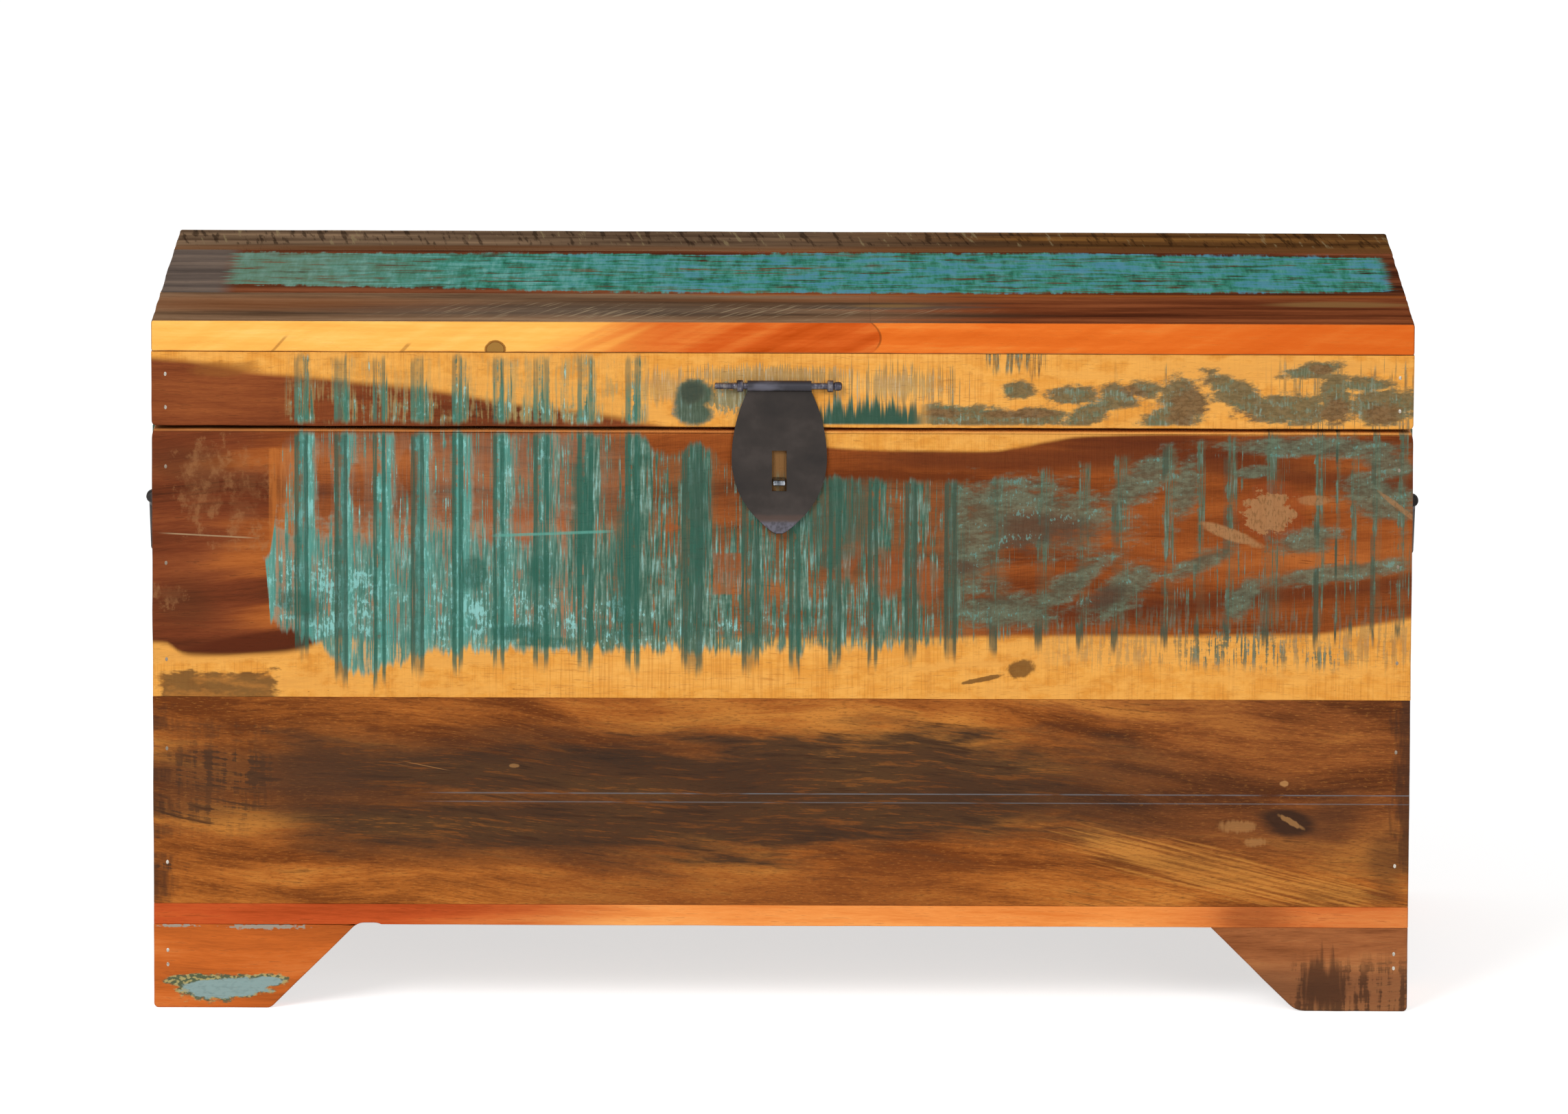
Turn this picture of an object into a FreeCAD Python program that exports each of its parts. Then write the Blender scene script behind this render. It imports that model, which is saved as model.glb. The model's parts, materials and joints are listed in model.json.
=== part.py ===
import FreeCAD, Part
import math
import os
import Sketcher

# A low storage chest nailed up from reclaimed boards: a boarded base on cut-out feet, a flat
# boarded lid on two back hinges, an iron hasp and staple in front and a drop handle at each end.
# Frame: +X along the chest to the right, +Y from front to back, +Z up. The origin is on the
# floor under the middle of the chest.

# Every length of the chest, in millimetres
SIZES = {
    # The whole chest
    "chest_wide": 800,
    "chest_deep": 400,
    "board_thick": 18,
    # Heights of the strips that a wall is glued up from, floor to rim
    "foot_high": 54.5,
    "rail_high": 13.5,
    "lower_board_high": 134,
    "upper_board_high": 172.5,
    # The lid
    "seam_gap": 2,
    "lid_board_high": 47.5,
    "plank_thick": 20,
    "front_plank_deep": 120,
    "back_plank_deep": 91,
    "batten_wide": 40,
    "batten_thick": 16,
    "batten_from_end": 185,
    # Feet: the level part of each foot, and the roundings of its saw cut
    "left_foot_wide": 74.5,
    "right_foot_wide": 71.5,
    "end_foot_wide": 62,
    "foot_outer_round": 3,
    "left_inner_round": 6,
    "right_inner_round": 15,
    "end_inner_round": 8,
    "cove_round": 10.5,
    "cove_over": 1.1,
    "cove_flat": 6,
    # Inside the base
    "bottom_thick": 12,
    "cleat_high": 18,
    "cleat_deep": 20,
    "post_wide": 24,
    "post_below_rim": 8,
    "block_wide": 36,
    "block_above_floor": 3,
    # Brads that nail front and back to the ends
    "brad_wide": 1.4,
    "brad_high": 2.4,
    "brad_long": 34,
    "brad_clear": 0.05,
    # Back hinges
    "hinge_from_end": 150,
    "leaf_wide": 62,
    "leaf_high": 34,
    "leaf_thick": 2,
    "knuckle_radius": 4.2,
    "knuckle_off_wood": 0.3,
    "knuckle_gap": 0.3,
    "pin_radius": 2,
    "pin_clear": 0.05,
    "pin_head_radius": 3.2,
    "pin_head_high": 1.8,
    "screw_radius": 1.7,
    "screw_head_radius": 3.4,
    "screw_head_high": 1.6,
    "screw_long": 13,
    "screw_clear": 0.05,
    "screw_in": 9,
    "screw_from_edge": 8,
    "screw_from_knuckle": 8,
    # Hasp: a rolled plate on a rod, held by two split pins
    "hasp_aside": 2,
    "hasp_above_seam": 27.5,
    "rod_radius": 2.2,
    "rod_left": 41,
    "rod_right": 39.6,
    "rod_head_radius": 2.9,
    "rod_head_long": 5,
    "rod_clear": 0.08,
    "hasp_thick": 1.2,
    "hasp_off_wood": 1.5,
    "hasp_neck_wide": 40.6,
    "hasp_wide": 60.4,
    "hasp_wide_drop": 47,
    "hasp_bend_wide": 27,
    "hasp_long": 94.5,
    "hasp_tip_long": 9,
    "hasp_tip_wide": 4,
    "hasp_tip_out": 4,
    "hasp_side_round": 98,
    "hasp_lower_round": 54,
    "slot_long": 26,
    "slot_side_clear": 0.85,
    "slot_end_clear": 0.5,
    # Split pins, at the hasp and at the handles
    "eye_wide": 4,
    "eye_thick": 1.5,
    "eye_clear": 0.12,
    "eye_leg_thick": 1.4,
    "eye_tail_long": 7,
    "eye_tail_thick": 1.4,
    "eye_hole_clear": 0.15,
    "left_eye_out": 25,
    "right_eye_out": 32.2,
    # Staple
    "staple_below_rim": 32.5,
    "staple_wide": 7.6,
    "staple_high": 10.6,
    "staple_thick": 1.8,
    "staple_reach": 11,
    "staple_tail": 7,
    # Drop handles at the ends
    "handle_below_rim": 67.5,
    "handle_drop": 49.5,
    "handle_bar_radius": 2.6,
    "handle_leg_out": 46,
    "handle_ear_bend": 5.5,
    "handle_corner_bend": 14,
    "handle_eye_gap": 0.8,
    "handle_eye_clear": 0.3,
    "handle_end_long": 1.8,
    "handle_end_radius": 3.8,
    "grip_radius": 4.7,
    "grip_long": 58,
    "grip_belly": 22,
    "washer_radius": 11,
    "washer_thick": 1.5,
    "washer_hole_wide": 5,
    "washer_gap": 0.3,
}

# Where the brads sit, as shares of the height of the board they go through
UPPER_BRAD_SHARES = (0.14, 0.5, 0.86)
LOWER_BRAD_SHARES = (0.2, 0.75)
FOOT_BRAD_SHARES = (0.52, 0.69)
LID_BRAD_SHARES = (0.25, 0.7)

KNUCKLES = 3
BOTTOM_BOARDS = 3

# How many flats stand for the round of a small forged or turned piece
BAR_FLATS = 12
SCREW_FLATS = 8

# A saw cut at 45 degrees: what a rounding takes off each side of its corner, and its legs
CORNER_SHARE = math.tan(math.radians(22.5))
DIAGONAL_SHARE = math.sqrt(0.5)

# Turns that lay an object's own Z axis or front along another axis
UPRIGHT = FreeCAD.Rotation()
ALONG_X = FreeCAD.Rotation(FreeCAD.Vector(0, 1, 0), 90)
ALONG_Y = FreeCAD.Rotation(FreeCAD.Vector(1, 0, 0), -90)
INTO_BACK = FreeCAD.Rotation(FreeCAD.Vector(1, 0, 0), 90)
QUARTER_LEFT = FreeCAD.Rotation(FreeCAD.Vector(0, 0, 1), 90)
QUARTER_RIGHT = FreeCAD.Rotation(FreeCAD.Vector(0, 0, 1), -90)

# A wedge tapers along its own Y axis, and this turn stands it up along Z
WEDGE_UP = FreeCAD.Rotation(FreeCAD.Vector(1, 0, 0), 90)


class Size:
    """A length worked out from the sheet: its value now, and the expression that binds it."""

    def __init__(self, value, text):
        self.value = value
        self.text = text

    def __add__(self, other):
        return Size(self.value + value_of(other), f"({self.text} + {text_of(other)})")

    def __radd__(self, other):
        return Size(value_of(other) + self.value, f"({text_of(other)} + {self.text})")

    def __sub__(self, other):
        return Size(self.value - value_of(other), f"({self.text} - {text_of(other)})")

    def __rsub__(self, other):
        return Size(value_of(other) - self.value, f"({text_of(other)} - {self.text})")

    def __mul__(self, other):
        return Size(self.value * value_of(other), f"({self.text} * {text_of(other)})")

    __rmul__ = __mul__

    def __truediv__(self, other):
        return Size(self.value / value_of(other), f"({self.text} / {text_of(other)})")

    def __neg__(self):
        return Size(-self.value, f"(0 - {self.text})")


def value_of(length):
    return length.value if isinstance(length, Size) else length


def text_of(length):
    return length.text if isinstance(length, Size) else repr(length)


def root(square):
    return Size(math.sqrt(square.value), f"sqrt({square.text})")


def fill_sheet(doc):
    """Write the sizes into the sheet, and return them by name."""
    sheet = doc.addObject("Spreadsheet::Sheet", "Dims")
    sizes = {}
    for row, (alias, value) in enumerate(SIZES.items(), start=1):
        sheet.set(f"A{row}", alias)
        sheet.set(f"B{row}", str(value))
        sheet.setAlias(f"B{row}", alias)
        sizes[alias] = Size(float(value), f"Dims.{alias}")
    doc.recompute()
    return sizes


doc = FreeCAD.newDocument("storage_chest")
d = fill_sheet(doc)
nodes = []

# Places that several pieces share
left = -d["chest_wide"] / 2
right = d["chest_wide"] / 2
front = -d["chest_deep"] / 2
back = d["chest_deep"] / 2
inner_left = left + d["board_thick"]
inner_right = right - d["board_thick"]
inner_front = front + d["board_thick"]
inner_back = back - d["board_thick"]
inner_wide = d["chest_wide"] - d["board_thick"] * 2
inner_deep = d["chest_deep"] - d["board_thick"] * 2
rail_low = d["foot_high"]
lower_low = rail_low + d["rail_high"]
upper_low = lower_low + d["lower_board_high"]
rim = upper_low + d["upper_board_high"]
lid_low = rim + d["seam_gap"]
plank_low = lid_low + d["lid_board_high"]
seam = rim + d["seam_gap"] / 2


def bind(obj, name, length):
    """Tie one number of an object to the sheet."""
    obj.setExpression(name, text_of(length))


def place(obj, x, y, z, turn=UPRIGHT):
    """Turn an object about its own origin and put that origin at a bound point."""
    obj.Placement = FreeCAD.Placement(FreeCAD.Vector(value_of(x), value_of(y), value_of(z)), turn)
    for axis, length in zip("xyz", (x, y, z)):
        bind(obj, f"Placement.Base.{axis}", length)
    return obj


def box(name, corner, spans):
    """A block from its low corner and its spans along X, Y and Z."""
    obj = doc.addObject("Part::Box", name)
    for side, length in zip(("Length", "Width", "Height"), spans):
        bind(obj, side, length)
    return place(obj, *corner)


def cylinder(name, radius, long, start, turn=UPRIGHT):
    """A round bar from the middle of its first end."""
    obj = doc.addObject("Part::Cylinder", name)
    bind(obj, "Radius", radius)
    bind(obj, "Height", long)
    return place(obj, *start, turn)


def prism(name, flats, radius, long, start, turn=UPRIGHT):
    """A bar of many flats from the middle of its first end. The radius is that of its corners."""
    obj = doc.addObject("Part::Prism", name)
    obj.Polygon = flats
    bind(obj, "Circumradius", radius)
    bind(obj, "Height", long)
    return place(obj, *start, turn)


def taper(name, flats, radius, end_radius, long, start, turn=UPRIGHT):
    """A taper of many flats from the middle of its first end, as what four-sided tapers share."""
    across_share = math.cos(math.pi / flats)
    parts = []
    for count in range(flats // 4):
        obj = doc.addObject("Part::Wedge", f"{name}_{count}")
        for number, size in (("", radius * across_share), ("2", end_radius * across_share)):
            for axis in "XZ":
                bind(obj, f"{axis}{number}min", -size)
                bind(obj, f"{axis}{number}max", size)
        bind(obj, "Ymin", 0)
        bind(obj, "Ymax", long)
        spin = FreeCAD.Rotation(FreeCAD.Vector(0, 0, 1), 360 * (count + 0.5) / flats)
        parts.append(place(obj, *start, turn * spin * WEDGE_UP))
    obj = doc.addObject("Part::MultiCommon", name)
    obj.Shapes = parts
    return obj


def fuse(name, shapes):
    obj = doc.addObject("Part::MultiFuse", name)
    obj.Shapes = shapes
    return obj


def group(name, shapes):
    """Separate solids kept together as one set of like fasteners."""
    obj = doc.addObject("Part::Compound", name)
    obj.Links = shapes
    return obj


def cut(name, base, tools):
    """Take tools that may not overlap out of a base."""
    obj = doc.addObject("Part::Cut", name)
    obj.Base = base
    obj.Tool = tools[0] if len(tools) == 1 else group(f"{name}_tools", tools)
    return obj


def node(name, obj):
    """Name a finished piece."""
    obj.Label = name
    nodes.append(obj)
    return obj


def origin_plane(body, role):
    return next(part for part in body.Origin.OriginFeatures if part.Role == role)


def new_body(name):
    return doc.addObject("PartDesign::Body", f"{name}_body")


def new_sketch(body, name, role, off_plane=0):
    """A sketch on one of the body's own planes, or a bound distance off it."""
    obj = body.newObject("Sketcher::SketchObject", name)
    obj.AttachmentSupport = [(origin_plane(body, role), "")]
    obj.MapMode = "FlatFace"
    bind(obj, "AttachmentOffset.Base.z", off_plane)
    return obj


def constrain(sketch, kind, length, *where):
    index = sketch.addConstraint(Sketcher.Constraint(kind, *where, value_of(length)))
    bind(sketch, f"Constraints[{index}]", length)


def line_to(x, y):
    return {"end": (x, y)}


def arc_to(x, y, radius, centre, left_turn):
    """An arc to a point, about a centre that lies on its left or on its right."""
    return {"end": (x, y), "radius": radius, "centre": centre, "left_turn": left_turn}


def draw(sketch, start, steps, closed=True):
    """Draw lines and arcs from a start, every corner bound to its place."""
    corners = [start] + [step["end"] for step in steps]
    if closed:
        corners[-1] = start
    first = sketch.GeometryCount
    ends = []
    for index, step in enumerate(steps):
        here = FreeCAD.Vector(*(value_of(length) for length in corners[index]), 0)
        there = FreeCAD.Vector(*(value_of(length) for length in corners[index + 1]), 0)
        if "radius" not in step:
            sketch.addGeometry(Part.LineSegment(here, there), False)
            ends.append((1, 2))
            continue
        centre = FreeCAD.Vector(*(value_of(length) for length in step["centre"]), 0)
        circle = Part.Circle(centre, FreeCAD.Vector(0, 0, 1), value_of(step["radius"]))
        angles = [math.atan2(point.y - centre.y, point.x - centre.x) for point in (here, there)]
        if not step["left_turn"]:
            angles.reverse()
        if angles[1] < angles[0]:
            angles[1] += 2 * math.pi
        sketch.addGeometry(Part.ArcOfCircle(circle, *angles), False)
        ends.append((1, 2) if step["left_turn"] else (2, 1))
    for index in range(len(steps) if closed else len(steps) - 1):
        after = (index + 1) % len(steps)
        joined = (first + index, ends[index][1], first + after, ends[after][0])
        sketch.addConstraint(Sketcher.Constraint("Coincident", *joined))
    for index in range(len(steps)):
        for kind, length in zip(("DistanceX", "DistanceY"), corners[index]):
            constrain(sketch, kind, length, -1, 1, first + index, ends[index][0])
        if "radius" in steps[index]:
            constrain(sketch, "Radius", steps[index]["radius"], first + index)
    if not closed:
        for kind, length in zip(("DistanceX", "DistanceY"), corners[-1]):
            constrain(sketch, kind, length, -1, 1, first + len(steps) - 1, ends[-1][1])


def draw_circle(sketch, x, y, radius):
    centre = FreeCAD.Vector(value_of(x), value_of(y), 0)
    index = sketch.addGeometry(
        Part.Circle(centre, FreeCAD.Vector(0, 0, 1), value_of(radius)), False
    )
    for kind, length in (("DistanceX", x), ("DistanceY", y)):
        constrain(sketch, kind, length, -1, 1, index, 3)
    constrain(sketch, "Radius", radius, index)


def draw_flats(sketch, flats, radius):
    """Draw a regular outline about the sketch's own origin. The radius is that of its corners."""
    corners = []
    for count in range(flats):
        angle = 2 * math.pi * count / flats
        corners.append((radius * math.cos(angle), radius * math.sin(angle)))
    draw(sketch, corners[0], [line_to(*corner) for corner in corners[1:] + corners[:1]])


def pad(body, name, sketch, long, both_ways=False):
    obj = body.newObject("PartDesign::Pad", name)
    obj.Profile = sketch
    bind(obj, "Length", long)
    obj.Midplane = both_ways
    doc.recompute()
    return obj


def pocket_both_ways(body, name, sketch, long):
    """Cut a sketch out of the body, half of the length to each side of the sketch."""
    obj = body.newObject("PartDesign::Pocket", name)
    obj.Profile = sketch
    bind(obj, "Length", long)
    obj.Midplane = True
    doc.recompute()
    return obj


# Boarded walls


def brads(name, low, high, shares, face, into):
    """Brads at both ends of a board, and the wider holes that take them.

    The heads lie in the face, and into is 1 where the brads run towards +Y, or -1.
    """
    pins = []
    holes = []
    clear = d["brad_clear"]
    start = face if into > 0 else face - d["brad_long"]
    for side, middle in (
        ("left", left + d["board_thick"] / 2),
        ("right", right - d["board_thick"] / 2),
    ):
        for count, share in enumerate(shares):
            x = middle - d["brad_wide"] / 2
            z = low + (high - low) * share - d["brad_high"] / 2
            label = f"{name}_{side}_{count}"
            spans = (d["brad_wide"], d["brad_long"], d["brad_high"])
            pins.append(box(f"{label}_brad", (x, start, z), spans))
            wide_spans = [span + clear * 2 for span in spans]
            corner = (x - clear, start - clear, z - clear)
            holes.append(box(f"{label}_hole", corner, wide_spans))
    return pins, holes


front_brads = {}
back_brads = {}
for course, low, high, shares in (
    ("foot", 0, rail_low, FOOT_BRAD_SHARES),
    ("lower", lower_low, upper_low, LOWER_BRAD_SHARES),
    ("upper", upper_low, rim, UPPER_BRAD_SHARES),
    ("lid", lid_low, plank_low, LID_BRAD_SHARES),
):
    front_brads[course] = brads(f"front_{course}", low, high, shares, front, 1)
    back_brads[course] = brads(f"back_{course}", low, high, shares, back, -1)


def end_holes(course, side):
    """The brad holes of one course that run into the end wall of one side."""
    holes = front_brads[course][1] + back_brads[course][1]
    return [hole for hole in holes if f"_{side}_" in hole.Name]


def long_board(name, y, low, high, holes):
    """A front or back board over the whole width."""
    spans = (d["chest_wide"], d["board_thick"], high - low)
    if not holes:
        return node(name, box(name, (left, y, low), spans))
    return node(name, cut(name, box(f"{name}_blank", (left, y, low), spans), holes))


def end_board(name, x, low, high, holes):
    """A board of an end wall, between front and back."""
    spans = (d["board_thick"], inner_deep, high - low)
    if not holes:
        return node(name, box(name, (x, inner_front, low), spans))
    return node(name, cut(name, box(f"{name}_blank", (x, inner_front, low), spans), holes))


# Feet


def foot(name, wide, inner_round, corner, turn, mirror, holes, cove=False):
    """One cut-out foot. Its profile runs from its outer corner along local X, or back along it.

    The cut rises at 45 degrees. Where it has a cove, it ends in a round that the saw carried
    a little way into the rail.
    """
    body = new_body(name)
    sketch = new_sketch(body, f"{name}_profile", "XZ_Plane")
    high = d["foot_high"]
    outer = d["foot_outer_round"]
    level_off = inner_round * CORNER_SHARE
    rise_off = level_off * DIAGONAL_SHARE
    steps = [
        line_to(mirror * (wide - level_off), 0),
        arc_to(
            mirror * (wide + rise_off),
            rise_off,
            inner_round,
            (mirror * (wide - level_off), inner_round),
            mirror > 0,
        ),
    ]
    if cove:
        centre = cove_centre(wide)
        reach = d["cove_round"] * DIAGONAL_SHARE
        steps.append(line_to(mirror * (centre[0] - reach), centre[1] + reach))
        steps.append(
            arc_to(
                mirror * (centre[0] - cove_half_chord()),
                high,
                d["cove_round"],
                (mirror * centre[0], centre[1]),
                mirror < 0,
            )
        )
    else:
        steps.append(line_to(mirror * (wide + high), high))
    steps.append(line_to(0, high))
    steps.append(line_to(0, outer))
    steps.append(arc_to(mirror * outer, 0, outer, (mirror * outer, outer), mirror > 0))
    draw(sketch, (mirror * outer, 0), steps)
    pad(body, f"{name}_pad", sketch, d["board_thick"])
    place(body, *corner, 0, turn)
    return node(name, cut(name, body, holes))


def cove_centre(wide):
    """Centre of the round at the top of the left foot's cut, from the foot's outer corner."""
    up = d["foot_high"] + d["cove_over"] - d["cove_round"]
    return wide + up + d["cove_round"] / DIAGONAL_SHARE, up


def cove_half_chord():
    """Half of the width of that round where it crosses the underside of the rail."""
    below = d["cove_round"] - d["cove_over"]
    return root(d["cove_round"] * d["cove_round"] - below * below)


left_holes = end_holes("foot", "left")
right_holes = end_holes("foot", "right")
foot(
    "front_foot_left",
    d["left_foot_wide"],
    d["left_inner_round"],
    (left, inner_front),
    UPRIGHT,
    1,
    front_brads["foot"][1],
    cove=True,
)
foot(
    "front_foot_right",
    d["right_foot_wide"],
    d["right_inner_round"],
    (right, inner_front),
    UPRIGHT,
    -1,
    front_brads["foot"][1],
)
foot(
    "back_foot_left",
    d["left_foot_wide"],
    d["left_inner_round"],
    (left, back),
    UPRIGHT,
    1,
    back_brads["foot"][1],
)
foot(
    "back_foot_right",
    d["right_foot_wide"],
    d["right_inner_round"],
    (right, back),
    UPRIGHT,
    -1,
    back_brads["foot"][1],
)
for side, x, holes in (("left", left, left_holes), ("right", inner_right, right_holes)):
    for name, y, mirror in (("front", inner_front, 1), ("back", inner_back, -1)):
        foot(
            f"{side}_foot_{name}",
            d["end_foot_wide"],
            d["end_inner_round"],
            (x, y),
            QUARTER_LEFT,
            mirror,
            holes,
        )


# Base walls


def front_rail():
    """The thin strip over the front feet, with the hollow that the saw left in its underside."""
    body = new_body("front_rail")
    sketch = new_sketch(body, "front_rail_profile", "XZ_Plane")
    wide = d["chest_wide"]
    high = d["rail_high"]
    centre = cove_centre(d["left_foot_wide"])
    start = centre[0] - cove_half_chord()
    flat_end = centre[0] + d["cove_flat"]
    below = d["cove_over"] - d["cove_round"]
    steps = [
        line_to(start, 0),
        arc_to(centre[0], d["cove_over"], d["cove_round"], (centre[0], below), False),
        line_to(flat_end, d["cove_over"]),
        arc_to(flat_end + cove_half_chord(), 0, d["cove_round"], (flat_end, below), False),
        line_to(wide, 0),
        line_to(wide, high),
        line_to(0, high),
        line_to(0, 0),
    ]
    draw(sketch, (0, 0), steps)
    pad(body, "front_rail_pad", sketch, d["board_thick"])
    place(body, left, inner_front, rail_low)
    return node("front_rail", body)


front_rail()
long_board("back_rail", inner_back, rail_low, lower_low, [])
long_board("front_board_lower", front, lower_low, upper_low, front_brads["lower"][1])
long_board("back_board_lower", inner_back, lower_low, upper_low, back_brads["lower"][1])
for side, x in (("left", left), ("right", inner_right)):
    end_board(f"{side}_rail", x, rail_low, lower_low, [])
    end_board(f"{side}_board_lower", x, lower_low, upper_low, end_holes("lower", side))


# Bottom, posts and blocks inside the base

cleat_low = d["foot_high"]
bottom_low = cleat_low + d["cleat_high"]
post_low = bottom_low + d["bottom_thick"]

for name, y in (("front", inner_front), ("back", inner_back - d["cleat_deep"])):
    label = f"bottom_cleat_{name}"
    node(label, box(label, (inner_left, y, cleat_low), (inner_wide, d["cleat_deep"], d["cleat_high"])))
for name, x in (("left", inner_left), ("right", inner_right - d["cleat_deep"])):
    label = f"bottom_cleat_{name}"
    corner = (x, inner_front + d["cleat_deep"], cleat_low)
    spans = (d["cleat_deep"], inner_deep - d["cleat_deep"] * 2, d["cleat_high"])
    node(label, box(label, corner, spans))

for count in range(BOTTOM_BOARDS):
    label = f"bottom_board_{count + 1}"
    deep = inner_deep / BOTTOM_BOARDS
    corner = (inner_left, inner_front + deep * count, bottom_low)
    node(label, box(label, corner, (inner_wide, deep, d["bottom_thick"])))

post_high = rim - d["post_below_rim"] - post_low
block_high = cleat_low - d["block_above_floor"]
blocks = []
for side, x, block_x in (
    ("left", inner_left, inner_left),
    ("right", inner_right - d["post_wide"], inner_right - d["block_wide"]),
):
    for name, y, block_y in (
        ("front", inner_front, inner_front),
        ("back", inner_back - d["post_wide"], inner_back - d["block_wide"]),
    ):
        label = f"corner_post_{name}_{side}"
        node(label, box(label, (x, y, post_low), (d["post_wide"], d["post_wide"], post_high)))
        corner = (block_x, block_y, d["block_above_floor"])
        blocks.append(
            box(f"block_{name}_{side}", corner, (d["block_wide"], d["block_wide"], block_high))
        )
node("corner_blocks", group("corner_blocks", blocks))


# Split pins


def split_pin(name, bore, reach, at, turn):
    """A strip folded round a bar: a ring, two legs through the board and tails bent apart inside.

    The ring's axis is local X and the legs run towards local +Y, through a board whose face is
    reach away. Returns the pin and the hole that its legs need.
    """
    wide = d["eye_wide"]
    leg = d["eye_leg_thick"]
    outer = bore + d["eye_thick"]
    clear = d["eye_hole_clear"]
    inside = reach + d["board_thick"]
    ring = cut(
        f"{name}_ring",
        prism(f"{name}_ring_outer", BAR_FLATS, outer, wide, (-wide / 2, 0, 0), ALONG_X),
        [prism(f"{name}_ring_bore", BAR_FLATS, bore, wide * 2, (-wide, 0, 0), ALONG_X)],
    )
    neck = bore + d["eye_thick"] / 2
    legs = box(
        f"{name}_legs",
        (-wide / 2, neck, -leg),
        (wide, inside + d["eye_tail_thick"] - neck, leg * 2),
    )
    tails = box(
        f"{name}_tails",
        (-wide / 2, inside, -leg - d["eye_tail_long"]),
        (wide, d["eye_tail_thick"], (leg + d["eye_tail_long"]) * 2),
    )
    pin = fuse(name, [ring, legs, tails])
    place(pin, *at, turn)
    hole = box(
        f"{name}_hole",
        (-wide / 2 - clear, reach - clear, -leg - clear),
        (wide + clear * 2, d["board_thick"] + clear * 2, (leg + clear) * 2),
    )
    seat = group(f"{name}_seat", [hole])
    place(seat, *at, turn)
    return pin, seat


# Staple, through the front of the base


def staple():
    """A flat strip bent to a U, with its ends turned away behind the board."""
    body = new_body("hasp_staple")
    sketch = new_sketch(body, "staple_profile", "YZ_Plane")
    outer = d["staple_high"] / 2
    inner = outer - d["staple_thick"]
    bend = outer - d["staple_reach"]
    inside = d["board_thick"]
    end = inside + d["staple_thick"]
    tip = outer + d["staple_tail"]
    steps = [
        line_to(inside, outer),
        line_to(inside, tip),
        line_to(end, tip),
        line_to(end, inner),
        line_to(bend, inner),
        arc_to(bend - inner, 0, inner, (bend, 0), True),
        arc_to(bend, -inner, inner, (bend, 0), True),
        line_to(end, -inner),
        line_to(end, -tip),
        line_to(inside, -tip),
        line_to(inside, -outer),
        line_to(bend, -outer),
        arc_to(bend - outer, 0, outer, (bend, 0), False),
        arc_to(bend, outer, outer, (bend, 0), False),
    ]
    draw(sketch, (bend, outer), steps)
    pad(body, "staple_pad", sketch, d["staple_wide"], both_ways=True)
    place(body, hasp_x, front, staple_z)
    return node("hasp_staple", body)


hasp_x = -d["hasp_aside"]
staple_z = rim - d["staple_below_rim"]
staple()

staple_holes = []
hole_clear = d["eye_hole_clear"]
for name, z in (
    ("upper", staple_z + d["staple_high"] / 2 - d["staple_thick"]),
    ("lower", staple_z - d["staple_high"] / 2),
):
    corner = (hasp_x - d["staple_wide"] / 2 - hole_clear, front - hole_clear, z - hole_clear)
    spans = (
        d["staple_wide"] + hole_clear * 2,
        d["board_thick"] + hole_clear * 2,
        d["staple_thick"] + hole_clear * 2,
    )
    staple_holes.append(box(f"staple_hole_{name}", corner, spans))
long_board("front_board_upper", front, upper_low, rim, front_brads["upper"][1] + staple_holes)


# Drop handles

handle_bore = d["handle_bar_radius"] + d["handle_eye_clear"]
handle_off_wood = d["washer_thick"] + d["washer_gap"] + handle_bore + d["eye_thick"]
handle_eye_out = (
    d["handle_leg_out"] + d["handle_ear_bend"] + d["handle_eye_gap"] + d["eye_wide"] / 2
)
handle_end = handle_eye_out + d["eye_wide"] / 2 + d["handle_eye_gap"] + d["handle_end_long"]
handle_z = rim - d["handle_below_rim"]


def bail(name, x):
    """A round bar bent to a drop handle, with a swelled grip and upset ends outside its eyes.

    It hangs from local Y, the line through both its eyes.
    """
    body = new_body(name)
    out = d["handle_leg_out"]
    drop = d["handle_drop"]
    ear = d["handle_ear_bend"]
    turn = d["handle_corner_bend"]
    path = new_sketch(body, f"{name}_path", "YZ_Plane")
    steps = [
        line_to(-out - ear, 0),
        arc_to(-out, -ear, ear, (-out - ear, -ear), False),
        line_to(-out, turn - drop),
        arc_to(turn - out, -drop, turn, (turn - out, turn - drop), True),
        line_to(out - turn, -drop),
        arc_to(out, turn - drop, turn, (out - turn, turn - drop), True),
        line_to(out, -ear),
        arc_to(out + ear, 0, ear, (out + ear, -ear), False),
        line_to(handle_end, 0),
    ]
    draw(path, (-handle_end, 0), steps, closed=False)
    ring = new_sketch(body, f"{name}_section", "XZ_Plane", handle_end)
    draw_flats(ring, BAR_FLATS, d["handle_bar_radius"])
    doc.recompute()
    pipe = body.newObject("PartDesign::AdditivePipe", f"{name}_pipe")
    pipe.Profile = ring
    pipe.Spine = path
    doc.recompute()
    for side, start in (("near", -handle_end), ("far", handle_end - d["handle_end_long"])):
        end = new_sketch(body, f"{name}_{side}_end", "XZ_Plane", -start)
        draw_flats(end, BAR_FLATS, d["handle_end_radius"])
        upset = pad(body, f"{name}_{side}_end_pad", end, d["handle_end_long"])
        upset.Reversed = True
    doc.recompute()
    place(body, x, 0, handle_z)
    half = d["grip_long"] / 2
    middle = d["grip_belly"] / 2
    tapers = []
    for count, (radius, end_radius, y, end_y) in enumerate((
        (d["handle_bar_radius"], d["grip_radius"], -half, -middle),
        (d["grip_radius"], d["grip_radius"], -middle, middle),
        (d["grip_radius"], d["handle_bar_radius"], middle, half),
    )):
        tapers.append(
            taper(
                f"{name}_grip_{count}",
                BAR_FLATS,
                radius,
                end_radius,
                end_y - y,
                (x, y, handle_z - d["handle_drop"]),
                ALONG_Y,
            )
        )
    return node(name, fuse(f"{name}_whole", [body] + tapers))


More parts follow.
